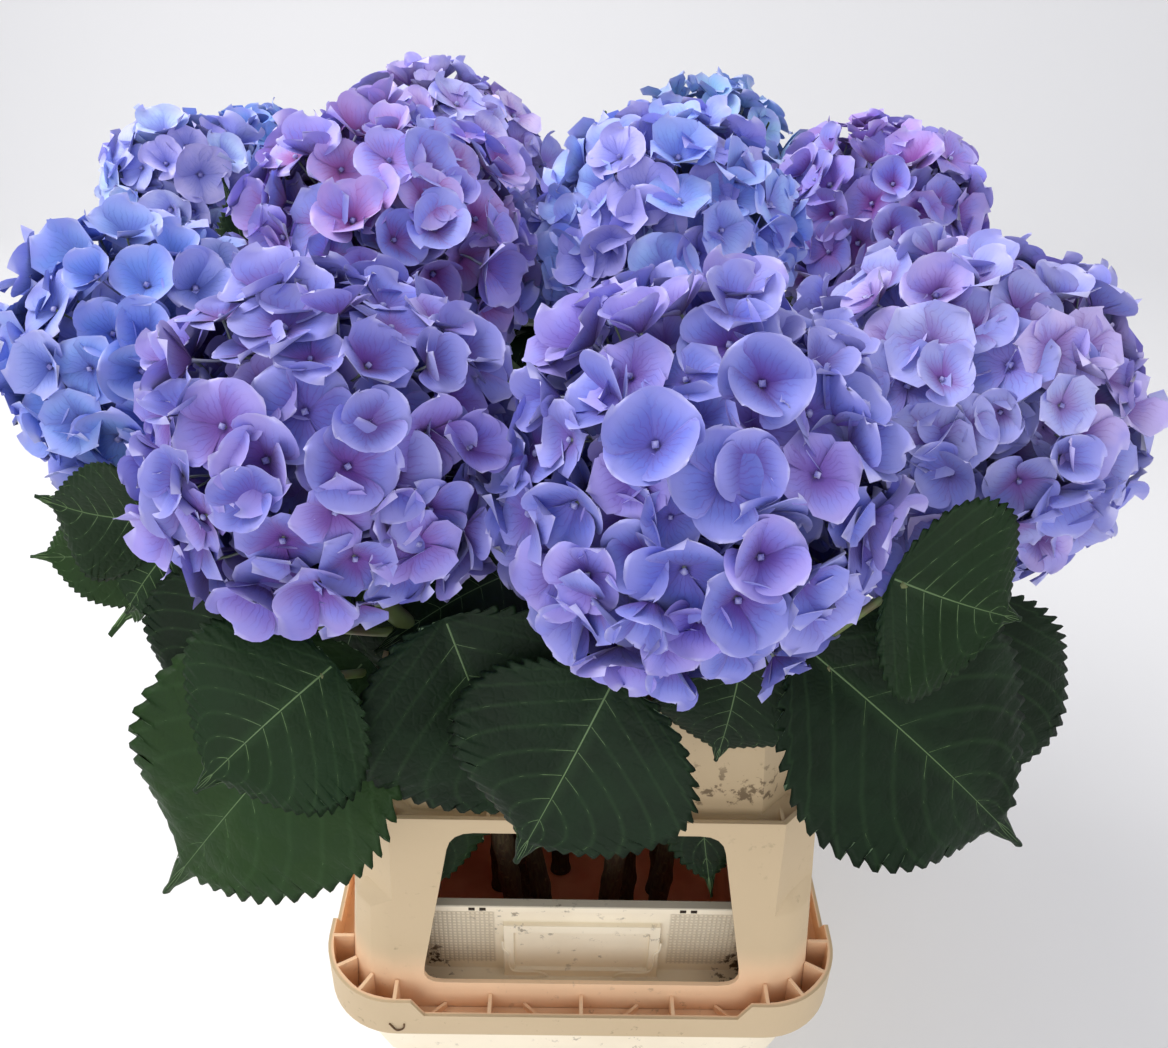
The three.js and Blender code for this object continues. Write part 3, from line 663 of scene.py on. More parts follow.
def blade_half(share):
    """Half the blade's width at a share of its length: a broad body, then a tip drawn out thin."""
    share = np.clip(share, 0, 1)
    in_body = np.minimum(share / LEAF["body"], 1)
    body = (np.maximum(np.sin(math.pi * in_body ** LEAF["fullest"]), 0)
            ** (0.5 + LEAF["taper"] * share))
    drip = LEAF["drip"] * share ** 2 * (1 - share)
    return 0.5 * np.maximum(np.hypot(body, drip), LEAF["least"])


def blade_axes(leaf):
    """A blade's line from base to tip, the way its face looks and the way to its side."""
    chord = np.subtract(leaf.tip, leaf.base)
    along = unit(chord)
    up = unit(leaf.facing - along * np.dot(leaf.facing, along))
    return chord, up, np.cross(along, up)


def blade_place(leaf, share, across, lift=0.0):
    """Points of a blade, by shares of the length and of the half width and the lift off it."""
    chord, up, side = blade_axes(leaf)
    share, across = np.broadcast_arrays(np.asarray(share, float), np.asarray(across, float))
    half = leaf.width * blade_half(share)
    arch = LEAF["arch"] * np.linalg.norm(chord) * 4 * share * (1 - share)
    fold = LEAF["fold"] * half * np.abs(across)
    return (np.array(leaf.base) + chord * share[..., None] + side * (across * half)[..., None]
            + up * (arch + fold + lift)[..., None])


def rim_place(angle):
    """The place of the collar's mouth in a direction from its middle."""
    c, s = math.cos(angle), math.sin(angle)
    x, y = NECK["x"], NECK["y"]
    far = 1 / max(abs(c) / x, abs(s) / y, (abs(c) + abs(s)) / (x + y - NECK["corner"]))
    return np.array((c * far, s * far, NECK["high"]))


def level(angle):
    """The level direction at an angle from +X."""
    return np.array((math.cos(angle), math.sin(angle), 0))


def fallen(flat, length, degrees):
    """A step in a level direction that falls by some degrees."""
    fall = math.radians(degrees)
    return length * (flat * math.cos(fall) - (0, 0, math.sin(fall)))


def leaning(name, line):
    """The angle at which a plant leans out from its foot."""
    lean = np.subtract(PLANTS[name].head, line.at(0))
    return math.atan2(lean[1], lean[0])


def rim_leaves(name, line, start, end):
    """The leaves that hang over the collar's mouth, from its two layers by turns."""
    order = sorted(angle for angles in RIM_LEAVES.values() for angle in angles)
    leaves = []
    for i, degrees in enumerate(RIM_LEAVES.get(name, ())):
        layer = LAYERS[order.index(degrees) % len(LAYERS)]
        angle = math.radians(degrees)
        flat = level(angle)
        base = rim_place(angle) + flat * layer["out"] + (0, 0, layer["up"])
        tip = base + fallen(flat, layer["length"], layer["fall"])
        first, step = ROOTS["rim"]
        root = line.at(start + (end - start) * (first + step * i))
        leaves.append(Leaf(base, tip, layer["width"], (flat[0], flat[1], 0.8), i % 3, root))
    return leaves


def ruff_leaves(name, line, end):
    """The pair of leaves under a head, as large as there is room for."""
    plant = PLANTS[name]
    if name not in RUFF["plants"]:
        return []
    root = line.at(end - RUFF["below"] / line.length)
    leaves = []
    for i, turn in enumerate(RUFF["turns"]):
        flat = level(leaning(name, line) + math.radians(turn))
        tip = plant.head + flat * RUFF["reach"] * plant.radius
        tip[2] -= RUFF["low"] * plant.radius
        base = root + flat * RUFF["stalk"]
        for scale in RUFF["scales"]:
            leaf = Leaf(base, base + (tip - base) * scale, RUFF["width"] * plant.radius * scale,
                        (flat[0] * 0.2, flat[1] * 0.2, 1), i, root)
            if is_clear(name, blade_place(leaf, *np.meshgrid(STATIONS, (-1, 0, 1)))):
                leaves.append(leaf)
                break
    return leaves


def fill_leaves(name, line, start, end):
    """Smaller leaves round a stem, clear of the heads and stems and turned from each other."""
    rng = np.random.default_rng(len(name))
    outward = math.degrees(leaning(name, line))
    stems = np.concatenate([other.part(enters(key), 1, 40) for key, other in LINES.items()
                            if key != name])
    leaves, turns = [], []
    for _ in range(FILL["tries"]):
        root = line.at(start + (end - start) * rng.uniform(*FILL["places"]))
        turn, fall, length = (rng.uniform(*FILL[key]) for key in ("turns", "falls", "lengths"))
        flat = level(math.radians(outward + turn))
        base = root + flat * FILL["stalk"] + (0, 0, FILL["rise"])
        leaf = Leaf(base, base + fallen(flat, length, fall), FILL["width"] * length,
                    (flat[0] * 0.5, flat[1] * 0.5, 0.85), len(leaves) % 3, root)
        blade = blade_place(leaf, *np.meshgrid(np.linspace(0, 1, 8), np.linspace(-1, 1, 5)))
        low, high = blade.reshape(-1, 3).min(0), blade.reshape(-1, 3).max(0)
        inside = (low[1] > FILL["front"] and low[2] > FILL["low"]
                  and (low > CAD_BOX[0]).all() and (high < CAD_BOX[1]).all())
        if (inside and all(abs(turn - other) > FILL["turned"] for other in turns)
                and np.linalg.norm(blade[..., None, :] - stems, axis=-1).min() > FILL["apart"]
                and is_clear(name, blade)):
            leaves.append(leaf)
            turns.append(turn)
            if len(leaves) == FILL["count"]:
                break
    return leaves


def plant_leaves(name):
    """Every leaf of one plant, with where its stalk leaves the stem."""
    line, start, end = LINES[name], enters(name) + GAP / LINES[name].length, seat(name)
    first, step = ROOTS["aimed"]
    aimed = [Leaf(np.array(base), np.array(tip), width, facing, green,
                  line.at(start + (end - start) * (first + step * i)), *sag)
             for i, (base, tip, width, facing, green, *sag)
             in enumerate(AIMED_LEAVES.get(name, ()))]
    return aimed + rim_leaves(name, line, start, end) + ruff_leaves(name, line, end)


# ---- settings


def length_setting(name, description, default):
    return FloatProperty(name=name, description=description, default=default, unit="LENGTH")


def colour_setting(name, description, web):
    return FloatVectorProperty(name=name, description=description, subtype="COLOR", size=4,
                               default=tone(web), min=0, max=1)


class BloomSettings(bpy.types.PropertyGroup):
    floret: length_setting("Floret", "Width of an open floret", 0.0355)
    pitch: length_setting("Pitch", "Distance between florets", 0.0215)
    cup: length_setting("Cup", "How deep a floret's heart lies", 0.0105)
    inner: length_setting("Inner layer", "How far under the first the second layer lies", 0.0145)
    button: length_setting("Button", "Width of a floret's bud", 0.0027)
    seed: IntProperty(name="Seed", description="Seed of the florets' turns", default=4)


class LeafSettings(bpy.types.PropertyGroup):
    teeth: IntProperty(name="Teeth", description="Teeth on each side of a leaf", default=25)
    tooth: length_setting("Tooth", "Depth of a tooth", 0.0044)
    thick: length_setting("Thickness", "Thickness of a blade", 0.0007)
    quilt: length_setting("Quilting", "Rise between two side veins", 0.0022)
    vein_colour: colour_setting("Veins", "Colour of the veins", "5F7A4C")


class BucketSettings(bpy.types.PropertyGroup):
    bevel: length_setting("Edge", "Rounding of the moulded edges", 0.0006)
    cream: colour_setting("Cream", "Colour of the sleeve and the band", "CBB491")
    # Painted light: the colour in the flange's channel is a glow of light through the plastic.
    peach_glow: colour_setting("Peach", "Colour of the flange's channel", "F4CDA6")
    # The tub's own cream, lifted near white: painted light that makes up for the shade the collar
    # casts on its front.
    tub: colour_setting("Tub", "Colour of the tub", "FBEFD6")
    # Painted light: the tub's inside is cream plastic, painted orange for the light that glows
    # through its walls and bounces inside.
    inside: colour_setting("Inside", "Colour of the tub's inside", "FFA878")


class StageSettings(bpy.types.PropertyGroup):
    floor: colour_setting("Floor", "Colour of the floor and backdrop", "EFEEEE")
    key: FloatProperty(name="Key light", description="Power of the main lamp", default=30.0)
    sky: FloatProperty(name="Sky", description="Strength of the light all round", default=0.66)


def dress(piece, slot, *nodes):
    """Attaches a finished piece to the one body; it stands for its nodes, which are hidden."""
    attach(piece, "root")
    if nodes:
        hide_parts(*nodes)


# ---- what repeats


def scatter_tree(name, templates, materials):
    """Sets copies of the templates on points, turned, sized and coloured by their attributes."""
    group = bpy.data.node_groups.new(name, "GeometryNodeTree")
    face = group.interface
    face.new_socket("Geometry", in_out="INPUT", socket_type="NodeSocketGeometry")
    for i in range(templates):
        face.new_socket(f"Template {i + 1}", in_out="INPUT", socket_type="NodeSocketObject")
    size = face.new_socket("Size", in_out="INPUT", socket_type="NodeSocketFloat")
    size.default_value = 1.0
    for i in range(materials):
        face.new_socket(f"Finish {i + 1}", in_out="INPUT", socket_type="NodeSocketMaterial")
    face.new_socket("Geometry", in_out="OUTPUT", socket_type="NodeSocketGeometry")
    tree = Tree(group)
    start = group.nodes.new("NodeGroupInput")
    given = {socket.name: Value(tree, socket) for socket in start.outputs}
    bundle = group.nodes.new("GeometryNodeGeometryToInstance")
    for i in range(templates):
        shape = tree.node("GeometryNodeObjectInfo", {"Object": given[f"Template {i + 1}"]},
                          output="Geometry", transform_space="ORIGINAL")
        group.links.new(shape.socket, bundle.inputs[0])

    def attribute(key, kind):
        return tree.node("GeometryNodeInputNamedAttribute", {"Name": key}, data_type=kind)

    turn = tree.node("FunctionNodeEulerToRotation", [attribute("turn", "FLOAT_VECTOR")])
    scale = attribute("size", "FLOAT") * given["Size"]
    copies = tree.node("GeometryNodeInstanceOnPoints", {
        "Points": given["Geometry"], "Instance": Value(tree, bundle.outputs[0]),
        "Pick Instance": True, "Instance Index": attribute("kind", "INT"),
        "Rotation": turn, "Scale": scale})
    solid = tree.node("GeometryNodeRealizeInstances", [copies])
    for i in range(materials):
        chosen = tree.node("FunctionNodeCompare", {2: attribute("shade", "INT"), 3: i},
                           data_type="INT", operation="EQUAL")
        solid = tree.node("GeometryNodeSetMaterial", {
            "Geometry": solid, "Selection": chosen, "Material": given[f"Finish {i + 1}"]})
    end = group.nodes.new("NodeGroupOutput")
    group.links.new(solid.socket, end.inputs[0])
    return group


ATTRIBUTES = {"turn": ("FLOAT_VECTOR", "vector"), "size": ("FLOAT", "value"),
              "kind": ("INT", "value"), "shade": ("INT", "value")}


def scatter(name, spots, templates, materials):
    """A joined mesh of template copies. spots: (place, turn quaternion, size, kind, shade)."""
    mesh = bpy.data.meshes.new(name)
    mesh.from_pydata([spot[0] for spot in spots], [], [])
    rows = [(tuple(turn.to_euler()), *rest) for _, turn, *rest in spots]
    for (key, (kind, field)), column in zip(ATTRIBUTES.items(), zip(*rows)):
        layer = mesh.attributes.new(key, kind, "POINT")
        layer.data.foreach_set(field, np.array(column).ravel())
    holder = placed(name, mesh)
    group = scatter_tree(name, len(templates), len(materials))
    modifier = holder.modifiers.new(name, "NODES")
    modifier.node_group = group
    keys = {item.name: item.identifier for item in group.interface.items_tree
            if item.in_out == "INPUT"}
    for i, template in enumerate(templates):
        modifier[keys[f"Template {i + 1}"]] = template
    for i, material in enumerate(materials):
        modifier[keys[f"Finish {i + 1}"]] = material
    modifier[keys["Size"]] = 1.0
    graph = bpy.context.evaluated_depsgraph_get()
    result = bpy.data.meshes.new_from_object(holder.evaluated_get(graph), depsgraph=graph)
    holder.modifiers.clear()
    holder.data = result
    for key in ATTRIBUTES:
        if key in result.attributes:
            result.attributes.remove(result.attributes[key])
    bpy.data.meshes.remove(mesh)
    bpy.data.node_groups.remove(group)
    return holder


def turned_to(normal, spin):
    """The turn that lays +Z along a normal, after a spin about it."""
    return Vector(normal).to_track_quat("Z", "Y") @ Quaternion((0, 0, 1), spin)


# ---- blooms

# How many templates there are of each kind, and the rows and columns of their sepals.
FLORETS = {"fine": 14, "plain": 4}
SEPAL_ROWS = np.array((0, 0.13, 0.28, 0.44, 0.6, 0.724, 0.835, 0.924, 0.98, 1.0))
SEPAL_COLUMNS = np.linspace(-1, 1, 7)
PLAIN_ROWS = np.array((0, 0.22, 0.5, 0.78, 1.0))
PLAIN_COLUMNS = np.linspace(-1, 1, 4)
Sepal = namedtuple("Sepal", "length width rise flare curl lap wave phase turn")
# A sepal's outline, and how far from the heart it begins.
SEPAL = {"widest": 0.6, "claw": 1.7, "foot": 0.07, "cupped": 0.1, "begin": 0.0006}
# A floret's sepals, in degrees: how steeply they rise from the heart and lie at their rims when
# closed, how far they open, and what a folded pair adds.
POISE = {"rise": (50, 62), "rise_opens": 34, "flare": (30, 48), "flare_opens": 46, "fold": 24}
# The layers of a head: how many steps they lie under the first, their pitch and size, their kind.
FLORET_LAYERS = ((0, 1.0, 1.0, "fine"), (1, 1.12, 0.92, "plain"), (2, 1.3, 1.1, "plain"))
# How florets stray from even places, and the cosine past which a head's underside is bare.
STRAY = {"aside": 0.05, "sunk": -0.001, "deep": 0.003, "tilt": 0.24, "size": 0.13,
         "least": 0.7, "most": 1.17, "bare": -0.93}
RAYS = {"count": 16, "reach": 0.52, "thick": 0.0022, "thin": 0.0011, "sag": 0.004, "stray": 0.002}


def sepal(skin, shape, rows, columns):
    """One sepal: it rises from a narrow claw, flares to a round rim and laps its neighbour."""
    out, across = np.meshgrid(rows, columns, indexing="ij")
    bend = shape.flare - shape.rise
    angle = shape.rise + bend * out
    x = shape.length * (np.sin(angle) - math.sin(shape.rise)) / bend
    z = shape.length * (math.cos(shape.rise) - np.cos(angle)) / bend
    widest = SEPAL["widest"]
    claw = 1 - ((widest - out) / widest) ** SEPAL["claw"]
    crown = np.sqrt(np.maximum(1 - ((out - widest) / (1 - widest)) ** 2, 0))
    half = shape.width / 2 * np.maximum(np.where(out < widest, claw, crown), SEPAL["foot"])
    cupped = shape.length * SEPAL["cupped"] * (across * half / shape.width * 2) ** 2
    x = x - cupped + SEPAL["begin"]
    ripple = np.sin(2.6 * across + shape.phase) + 0.6 * np.sin(4.4 * across + 2 * shape.phase)
    z = (z + shape.curl * across ** 2 * half + shape.lap * across * out
         + shape.wave * ripple * out ** 3)
    c, s = math.cos(shape.turn), math.sin(shape.turn)
    y = across * half
    points = np.stack([x * c - y * s, x * s + y * c, z], -1)
    skin.grid(points, np.stack([out, across * 0.5 + 0.5], -1), turned=True)


def floret_templates(settings, rng):
    """Florets of four sepals: fine ones, from open saucers to closed cups, then plain ones."""
    made = []
    for i in range(FLORETS["fine"] + FLORETS["plain"]):
        fine = i < FLORETS["fine"]
        rows, columns = (SEPAL_ROWS, SEPAL_COLUMNS) if fine else (PLAIN_ROWS, PLAIN_COLUMNS)
        openness = ((i * 0.618) % 1) ** 0.7
        folded = rng.integers(0, 4) if openness < 0.6 else -1
        skin = Skin()
        for k in range(4):
            fold = POISE["fold"] if k in (folded, (folded + 2) % 4) and folded >= 0 else 0
            rise = rng.uniform(*POISE["rise"]) - POISE["rise_opens"] * openness + fold * 0.4
            flare = rng.uniform(*POISE["flare"]) - POISE["flare_opens"] * openness + fold
            sepal(skin, Sepal(
                length=settings.floret * 0.5 * rng.uniform(0.93, 1.12),
                width=settings.floret * rng.uniform(0.6, 0.72),
                rise=math.radians(rise), flare=math.radians(min(flare, rise - 4)),
                curl=rng.uniform(0.05, 0.26), lap=rng.uniform(0.001, 0.0022),
                wave=rng.uniform(0.0005, 0.0014), phase=rng.uniform(0, math.tau),
                turn=math.radians(90 * k + rng.uniform(-10, 10))), rows, columns)
        made.append(skin.piece(f"floret_shape_{i}", []))
    return made


def button_template(settings):
    """A floret's bud: a small bead pinched into four lobes."""
    skin = Skin()
    around = np.arange(8) * math.pi / 4
    lobes = 1 + 0.16 * np.cos(4 * around)
    rows = []
    for tilt in np.radians((8, 40, 75, 110)):
        flat = settings.button / 2 * math.sin(tilt) * lobes
        high = settings.button * 0.45 * (1 + math.cos(tilt)) + SEPAL["begin"]
        rows.append(np.stack([flat * np.cos(around), flat * np.sin(around),
                              np.full(8, high)], -1))
    index = skin.grid(np.array(rows), np.zeros(2), closed=True, turned=True)
    skin.cap(index[0, :-1])
    return skin.piece("button_shape", [])


def stalklet_template():
    """The thin stalk under a floret."""
    skin = Skin()
    tube(skin, [(0, 0, 0.0008), (0.0004, 0, -0.008), (-0.0006, 0.0008, -0.02), (0, 0, -0.034)],
         (0.0008, 0.0006, 0.0007, 0.0009), 4)
    return skin.piece("stalklet_shape", [])


def even_points(count):
    """Directions spread evenly over a ball, by the golden angle."""
    golden = math.pi * (3 - math.sqrt(5))
    i = np.arange(count)
    z = 1 - (2 * i + 1) / count
    flat = np.sqrt(1 - z * z)
    return np.stack([np.cos(golden * i) * flat, np.sin(golden * i) * flat, z], -1)


def floret_spots(name, settings, rng):
    """Where a head's florets sit: a crowded outer layer over two deeper ones that fill its gaps."""
    plant = PLANTS[name]
    axis = head_axis(plant)
    turn = Vector((0, 0, 1)).rotation_difference(Vector(axis)).to_matrix()
    spots = []
    for step, pitch, size, kind in FLORET_LAYERS:
        depth, spacing = settings.cup + settings.inner * step, settings.pitch * pitch
        first = FLORETS["fine"] if kind == "plain" else 0
        spread = round(4 * math.pi * (plant.radius - depth * 0.7) ** 2 / spacing ** 2)
        for way in even_points(spread):
            way = unit(np.array(turn @ Vector(way)) + rng.normal(0, STRAY["aside"], 3))
            if way @ axis < STRAY["bare"]:
                continue
            far = (head_reach(name, way[None])[0] - depth
                   + rng.normal(STRAY["sunk"], STRAY["deep"]))
            normal = unit(way + rng.normal(0, STRAY["tilt"], 3))
            scale = size * min(max(rng.normal(1, STRAY["size"]), STRAY["least"]), STRAY["most"])
            spots.append((plant.head + way * far, turned_to(normal, rng.uniform(0, math.tau)),
                          scale, first + int(rng.integers(0, FLORETS[kind])),
                          int(rng.integers(0, len(FLUSHES)))))
    return spots


def head_branches(name, skin, rng):
    """The head's stalk and the rays that carry its stalklets."""
    plant, line = PLANTS[name], LINES[name]
    start = seat(name) + GAP / line.length
    tube(skin, line.part(start, 1, 8), HEAD["stalk"] * np.linspace(1, 0.9, 8), 10)
    foot = line.at(1.0)
    for way in even_points(RAYS["count"]):
        tip = plant.head + way * head_reach(name, way[None])[0] * RAYS["reach"]
        middle = (foot + tip) / 2 + rng.normal(0, RAYS["stray"], 3) + (0, 0, -RAYS["sag"])
        tube(skin, Line([foot, middle, tip], 12).part(0, 1, 6),
             np.linspace(RAYS["thick"], RAYS["thin"], 6), 5)


class HYDRANGEA_OT_blooms(bpy.types.Operator):
    """Builds every head: its florets, their buds and stalklets, and the rays inside"""

    bl_idname = "hydrangea.blooms"
    bl_label = "Blooms"

    def execute(self, context):
        settings = context.scene.hydrangea_blooms
        rng = np.random.default_rng(settings.seed)
        florets = floret_templates(settings, rng)
        button, stalklet = button_template(settings), stalklet_template()
        bud = plain_finish("bud", tone("AFAEDC"), tone("6C66B4"), 400.0, 0.5)
        stalk = plain_finish("flower_stalk", tone("7E8F63"), tone("8A86B8"), 120.0, 0.6)
        finishes = {key: [petal_finish(f"petal_{key}_{i}", tone(body), tone(heart), flushed)
                          for i, (body, flushed) in enumerate(zip(bodies, FLUSHES))]
                    for key, (bodies, heart, _) in PETALS.items()}
        for name, plant in PLANTS.items():
            spots = floret_spots(name, settings, rng)
            slot = PETALS[plant.petals][2]
            bare = [(*spot[:3], 0, 0) for spot in spots if spot[3] < FLORETS["fine"]]
            dress(scatter(f"florets_{name}", spots, florets, finishes[plant.petals]), slot,
                  f"bloom_{name}")
            dress(scatter(f"buds_{name}", bare, [button], [bud]), slot)
            dress(scatter(f"stalklets_{name}", bare, [stalklet], [stalk]), "leaf")
            skin = Skin()
            head_branches(name, skin, rng)
            dress(skin.piece(f"rays_{name}", [stalk]), "leaf")
        for template in (*florets, button, stalklet):
            bpy.data.objects.remove(template)
        return {"FINISHED"}


# ---- leaves and stems

LEAF_COLUMNS = np.array((-1, -0.93, -0.78, -0.56, -0.34, -0.15, 0))
TOOTH_SHARES = (0.0, 0.3, 0.52, 0.72, 0.9)
# Teeth: how uneven, hooked and near the margin they are, where along it they begin, end and fade
# out, and how far they point ahead.
TEETH = {"uneven": 0.3, "hooked": 1.7, "near": 6, "begin": 0.1, "end": 0.91, "fade": 0.04,
         "ahead": 0.5, "slope": 0.004}
# A blade's relief on a leaf of its plain length: waves, a lifted tip and drooping sides.
RELIEF = {"length": 0.14, "wave": 0.0045, "waves": 1.7, "tip": 0.08, "tip_from": 0.75,
          "droop": 0.003}

# The finishes of a plant's leaves: the greens come first, then these.
UNDER, VEIN, STALK = (len(GREENS) + i for i in range(3))

# How far round the margin each share of the length lies, as a share of the whole margin.
MARGIN = np.linspace(0, 1, 600)
MARGIN_STEPS = np.hypot(np.diff(MARGIN), 0.8 * np.diff(blade_half(MARGIN)))
MARGIN_FAR = np.concatenate([[0], np.cumsum(MARGIN_STEPS)])
MARGIN_FAR /= MARGIN_FAR[-1]


class Blade:
    """A leaf's blade: its two sides and its veins, on one toothed, quilted and wavy surface."""

    def __init__(self, leaf, settings, phase):
        self.leaf, self.settings, self.phase = leaf, settings, phase
        self.chord, self.up, self.sideways = blade_axes(leaf)
        self.proud = settings.thick / 2 + VEINS["proud"]

    def points(self, share, across, lift):
        """Points of the surface, by shares of the length and the half width and the lift off it."""
        side, far = np.abs(across), np.interp(share, MARGIN, MARGIN_FAR)
        size = np.linalg.norm(self.chord) / RELIEF["length"]
        fade = (np.clip(far / TEETH["begin"], 0, 1)
                * np.clip((TEETH["end"] - far) / TEETH["fade"], 0, 1))
        uneven = TEETH["uneven"] * np.sin(19 * far + 9 * self.phase + 2 * (across > 0))
        step = (far * self.settings.teeth + 0.5 * (across > 0)) % 1
        tooth = (self.settings.tooth * min(size, 1.1) * (1 + uneven) * fade
                 * side ** TEETH["near"] * (np.sin(step ** TEETH["hooked"] * math.pi) - 0.5))
        between = np.sin(math.pi * (vein_count(share, side) % 1)) ** 0.8
        window = np.sqrt(side) * (1 - side ** 4)
        quilt = self.settings.quilt * size * between * window * fade
        waves = np.sin(math.tau * (RELIEF["waves"] * share + self.phase) + 1.2 * across)
        wave = RELIEF["wave"] * size * waves * side ** 2
        droop = (RELIEF["tip"] * size * np.clip(share - RELIEF["tip_from"], 0, 1) ** 2
                 - RELIEF["droop"] * size * side ** 2 * share)
        place = blade_place(self.leaf, share, across, lift + quilt + wave * fade + droop)
        return place + self.outward(share, across) * tooth[..., None]

    def outward(self, share, across):
        """The way the teeth point: square to the margin, and somewhat ahead."""
        before, after = blade_half(share - TEETH["slope"]), blade_half(share + TEETH["slope"])
        slope = (after - before) * self.leaf.width / (2 * TEETH["slope"])
        normal = np.stack([-slope, np.full_like(slope, np.linalg.norm(self.chord))], -1)
        ahead = TEETH["ahead"] * np.linalg.norm(normal, axis=-1, keepdims=True) * (1, 0)
        normal = unit(normal + ahead)
        aside = self.sideways * normal[..., 1:] * np.sign(across)[..., None]
        return unit(self.chord) * normal[..., :1] + aside

    def grow(self, skin):
        """Adds the upper side in the leaf's own green, the underside and the veins."""
        count = self.settings.teeth
        rows = np.array([(k + t) / count for k in range(count) for t in TOOTH_SHARES] + [1.0])
        rows = np.interp(rows, MARGIN_FAR, MARGIN)
        columns = np.concatenate([LEAF_COLUMNS, -LEAF_COLUMNS[-2::-1]])
        share, across = np.meshgrid(rows, columns, indexing="ij")
        edge = ((1 - np.abs(across) ** 6) * np.clip(share / 0.02, 0, 1)
                * np.clip((1 - share) / 0.02, 0, 1))
        half = self.settings.thick / 2 * edge
        shares = np.stack([share, across * 0.5 + 0.5], -1)
        skin.grid(self.points(share, across, half), shares, self.leaf.green)
        skin.grid(self.points(share, across, -half), shares, UNDER, turned=True)
        self.vein(skin, np.linspace(0.02, 0.97, 26), np.zeros(26), VEINS["midrib"])
        for k in range(VEINS["pairs"]):
            run = np.linspace(*VEINS["run"], 12)
            slant = VEINS["lean"] * run + VEINS["sweep"] * run ** 2
            along = (k - VEINS["start"]) / VEINS["pairs"] + slant
            kept = (along > VEINS["from"]) & (along < VEINS["to"])
            if along[0] < VEINS["from"] or kept.sum() < 5:
                continue
            for side in (-1, 1):
                self.vein(skin, along[kept], side * run[kept], VEINS["width"])

    def vein(self, skin, along, across, width):
        """Adds a thin raised strip that tapers to its end."""
        path = self.points(along, across, np.full(len(along), self.proud))
        side = unit(np.cross(self.up, unit(np.gradient(path, axis=0))))
        taper = (np.linspace(1, 0.3, len(along)) * width)[:, None]
        low = self.up * (self.proud + 0.0001)
        points = np.stack([path - side * taper - low, path + self.up * taper * 0.4,
                           path + side * taper - low], 1)
        skin.grid(points, np.zeros(2), VEIN)


def stalk_path(leaf):
    """A petiole's path from the stem into the blade, with a slight sag."""
    end = blade_place(leaf, LEAF["joined_at"], 0.0)
    low = max(leaf.sag / 2, 0.05 * np.linalg.norm(end - leaf.root))
    return Line([leaf.root, (leaf.root + end) / 2 - (0, 0, low), end], 12).part(0, 1, 8)


class HYDRANGEA_OT_leaves(bpy.types.Operator):
    """Builds every plant's leaves, with their stalks and the green top of its stem"""

    bl_idname = "hydrangea.leaves"
    bl_label = "Leaves"

    def execute(self, context):
        settings = context.scene.hydrangea_leaves
        rng = np.random.default_rng(11)
        vein = tuple(settings.vein_colour)
        finishes = [
            *(leaf_finish(f"leaf_{i}", green) for i, green in enumerate(GREENS)),
            plain_finish("leaf_under", tone("6C8560"), tone("58704C"), 60.0, 0.6),
            plain_finish("leaf_vein", vein, tone("5F7B48"), 80.0, 0.5),
            plain_finish("leaf_stalk", tone("6E8449"), tone("6B5A42"), 70.0, 0.5),
        ]
        for name in PLANTS:
            skin = Skin()
            line, start, end = LINES[name], enters(name), seat(name)
            above = start + GAP / line.length
            radii = np.linspace(STEM["tip"], STEM["top"], 14)
            tube(skin, line.part(above, end, 14), radii, 14, STALK)
            leaves = plant_leaves(name) + fill_leaves(name, line, start, end)
            leaves += [Leaf(*tucked, line.at(above + 0.1 * i))
                       for i, tucked in enumerate(TUCKED.get(name, ()))]
            for leaf in leaves:
                Blade(leaf, settings, rng.uniform(0, 1)).grow(skin)
                tube(skin, stalk_path(leaf), np.linspace(*STEM["stalks"], 8), 8, STALK)
            made = skin.piece(f"foliage_{name}", finishes, merge=0.000002)
            dress(made, "leaf", f"leaves_{name}")
        return {"FINISHED"}


class HYDRANGEA_OT_stems(bpy.types.Operator):
    """Builds the woody stems with their knots, from the tub's floor to the collar's mouth"""

    bl_idname = "hydrangea.stems"
    bl_label = "Stems"

    def execute(self, context):
        rng = np.random.default_rng(7)
        bark = bark_finish("bark", tone("463526"), tone("5C5236"))
        for name, line in LINES.items():
            skin = Skin()
            share = np.linspace(0, 1, STEM["rings"])
            joint = np.cos(share * STEM["joints"] * math.tau) ** 8
            radii = (STEM["foot"] + (STEM["tip"] - STEM["foot"]) * share
                     + STEM["joint"] * joint * (1 - share))
            ripple = STEM["gnarled"] * np.sin(share * 60 + rng.uniform(0, 6))
            radii = radii * (1 + ripple * rng.uniform(0.4, 1, STEM["rings"]))
            tube(skin, line.part(0, enters(name), STEM["rings"]), radii, 16)
            dress(skin.piece(f"bark_{name}", [bark]), "stem_bark", f"stem_{name}")
        return {"FINISHED"}


# ---- bucket and collar


def in_corner(place):
    """Whether a point lies in the arc of one of the flange's corners."""
    past = abs(place.x) - CORNER["x"], abs(place.y) - CORNER["y"]
    return (min(past) > -0.0002 and math.hypot(*past) > CORNER["inner"]
            and CORNER["low"] < place.z < CORNER["high"])


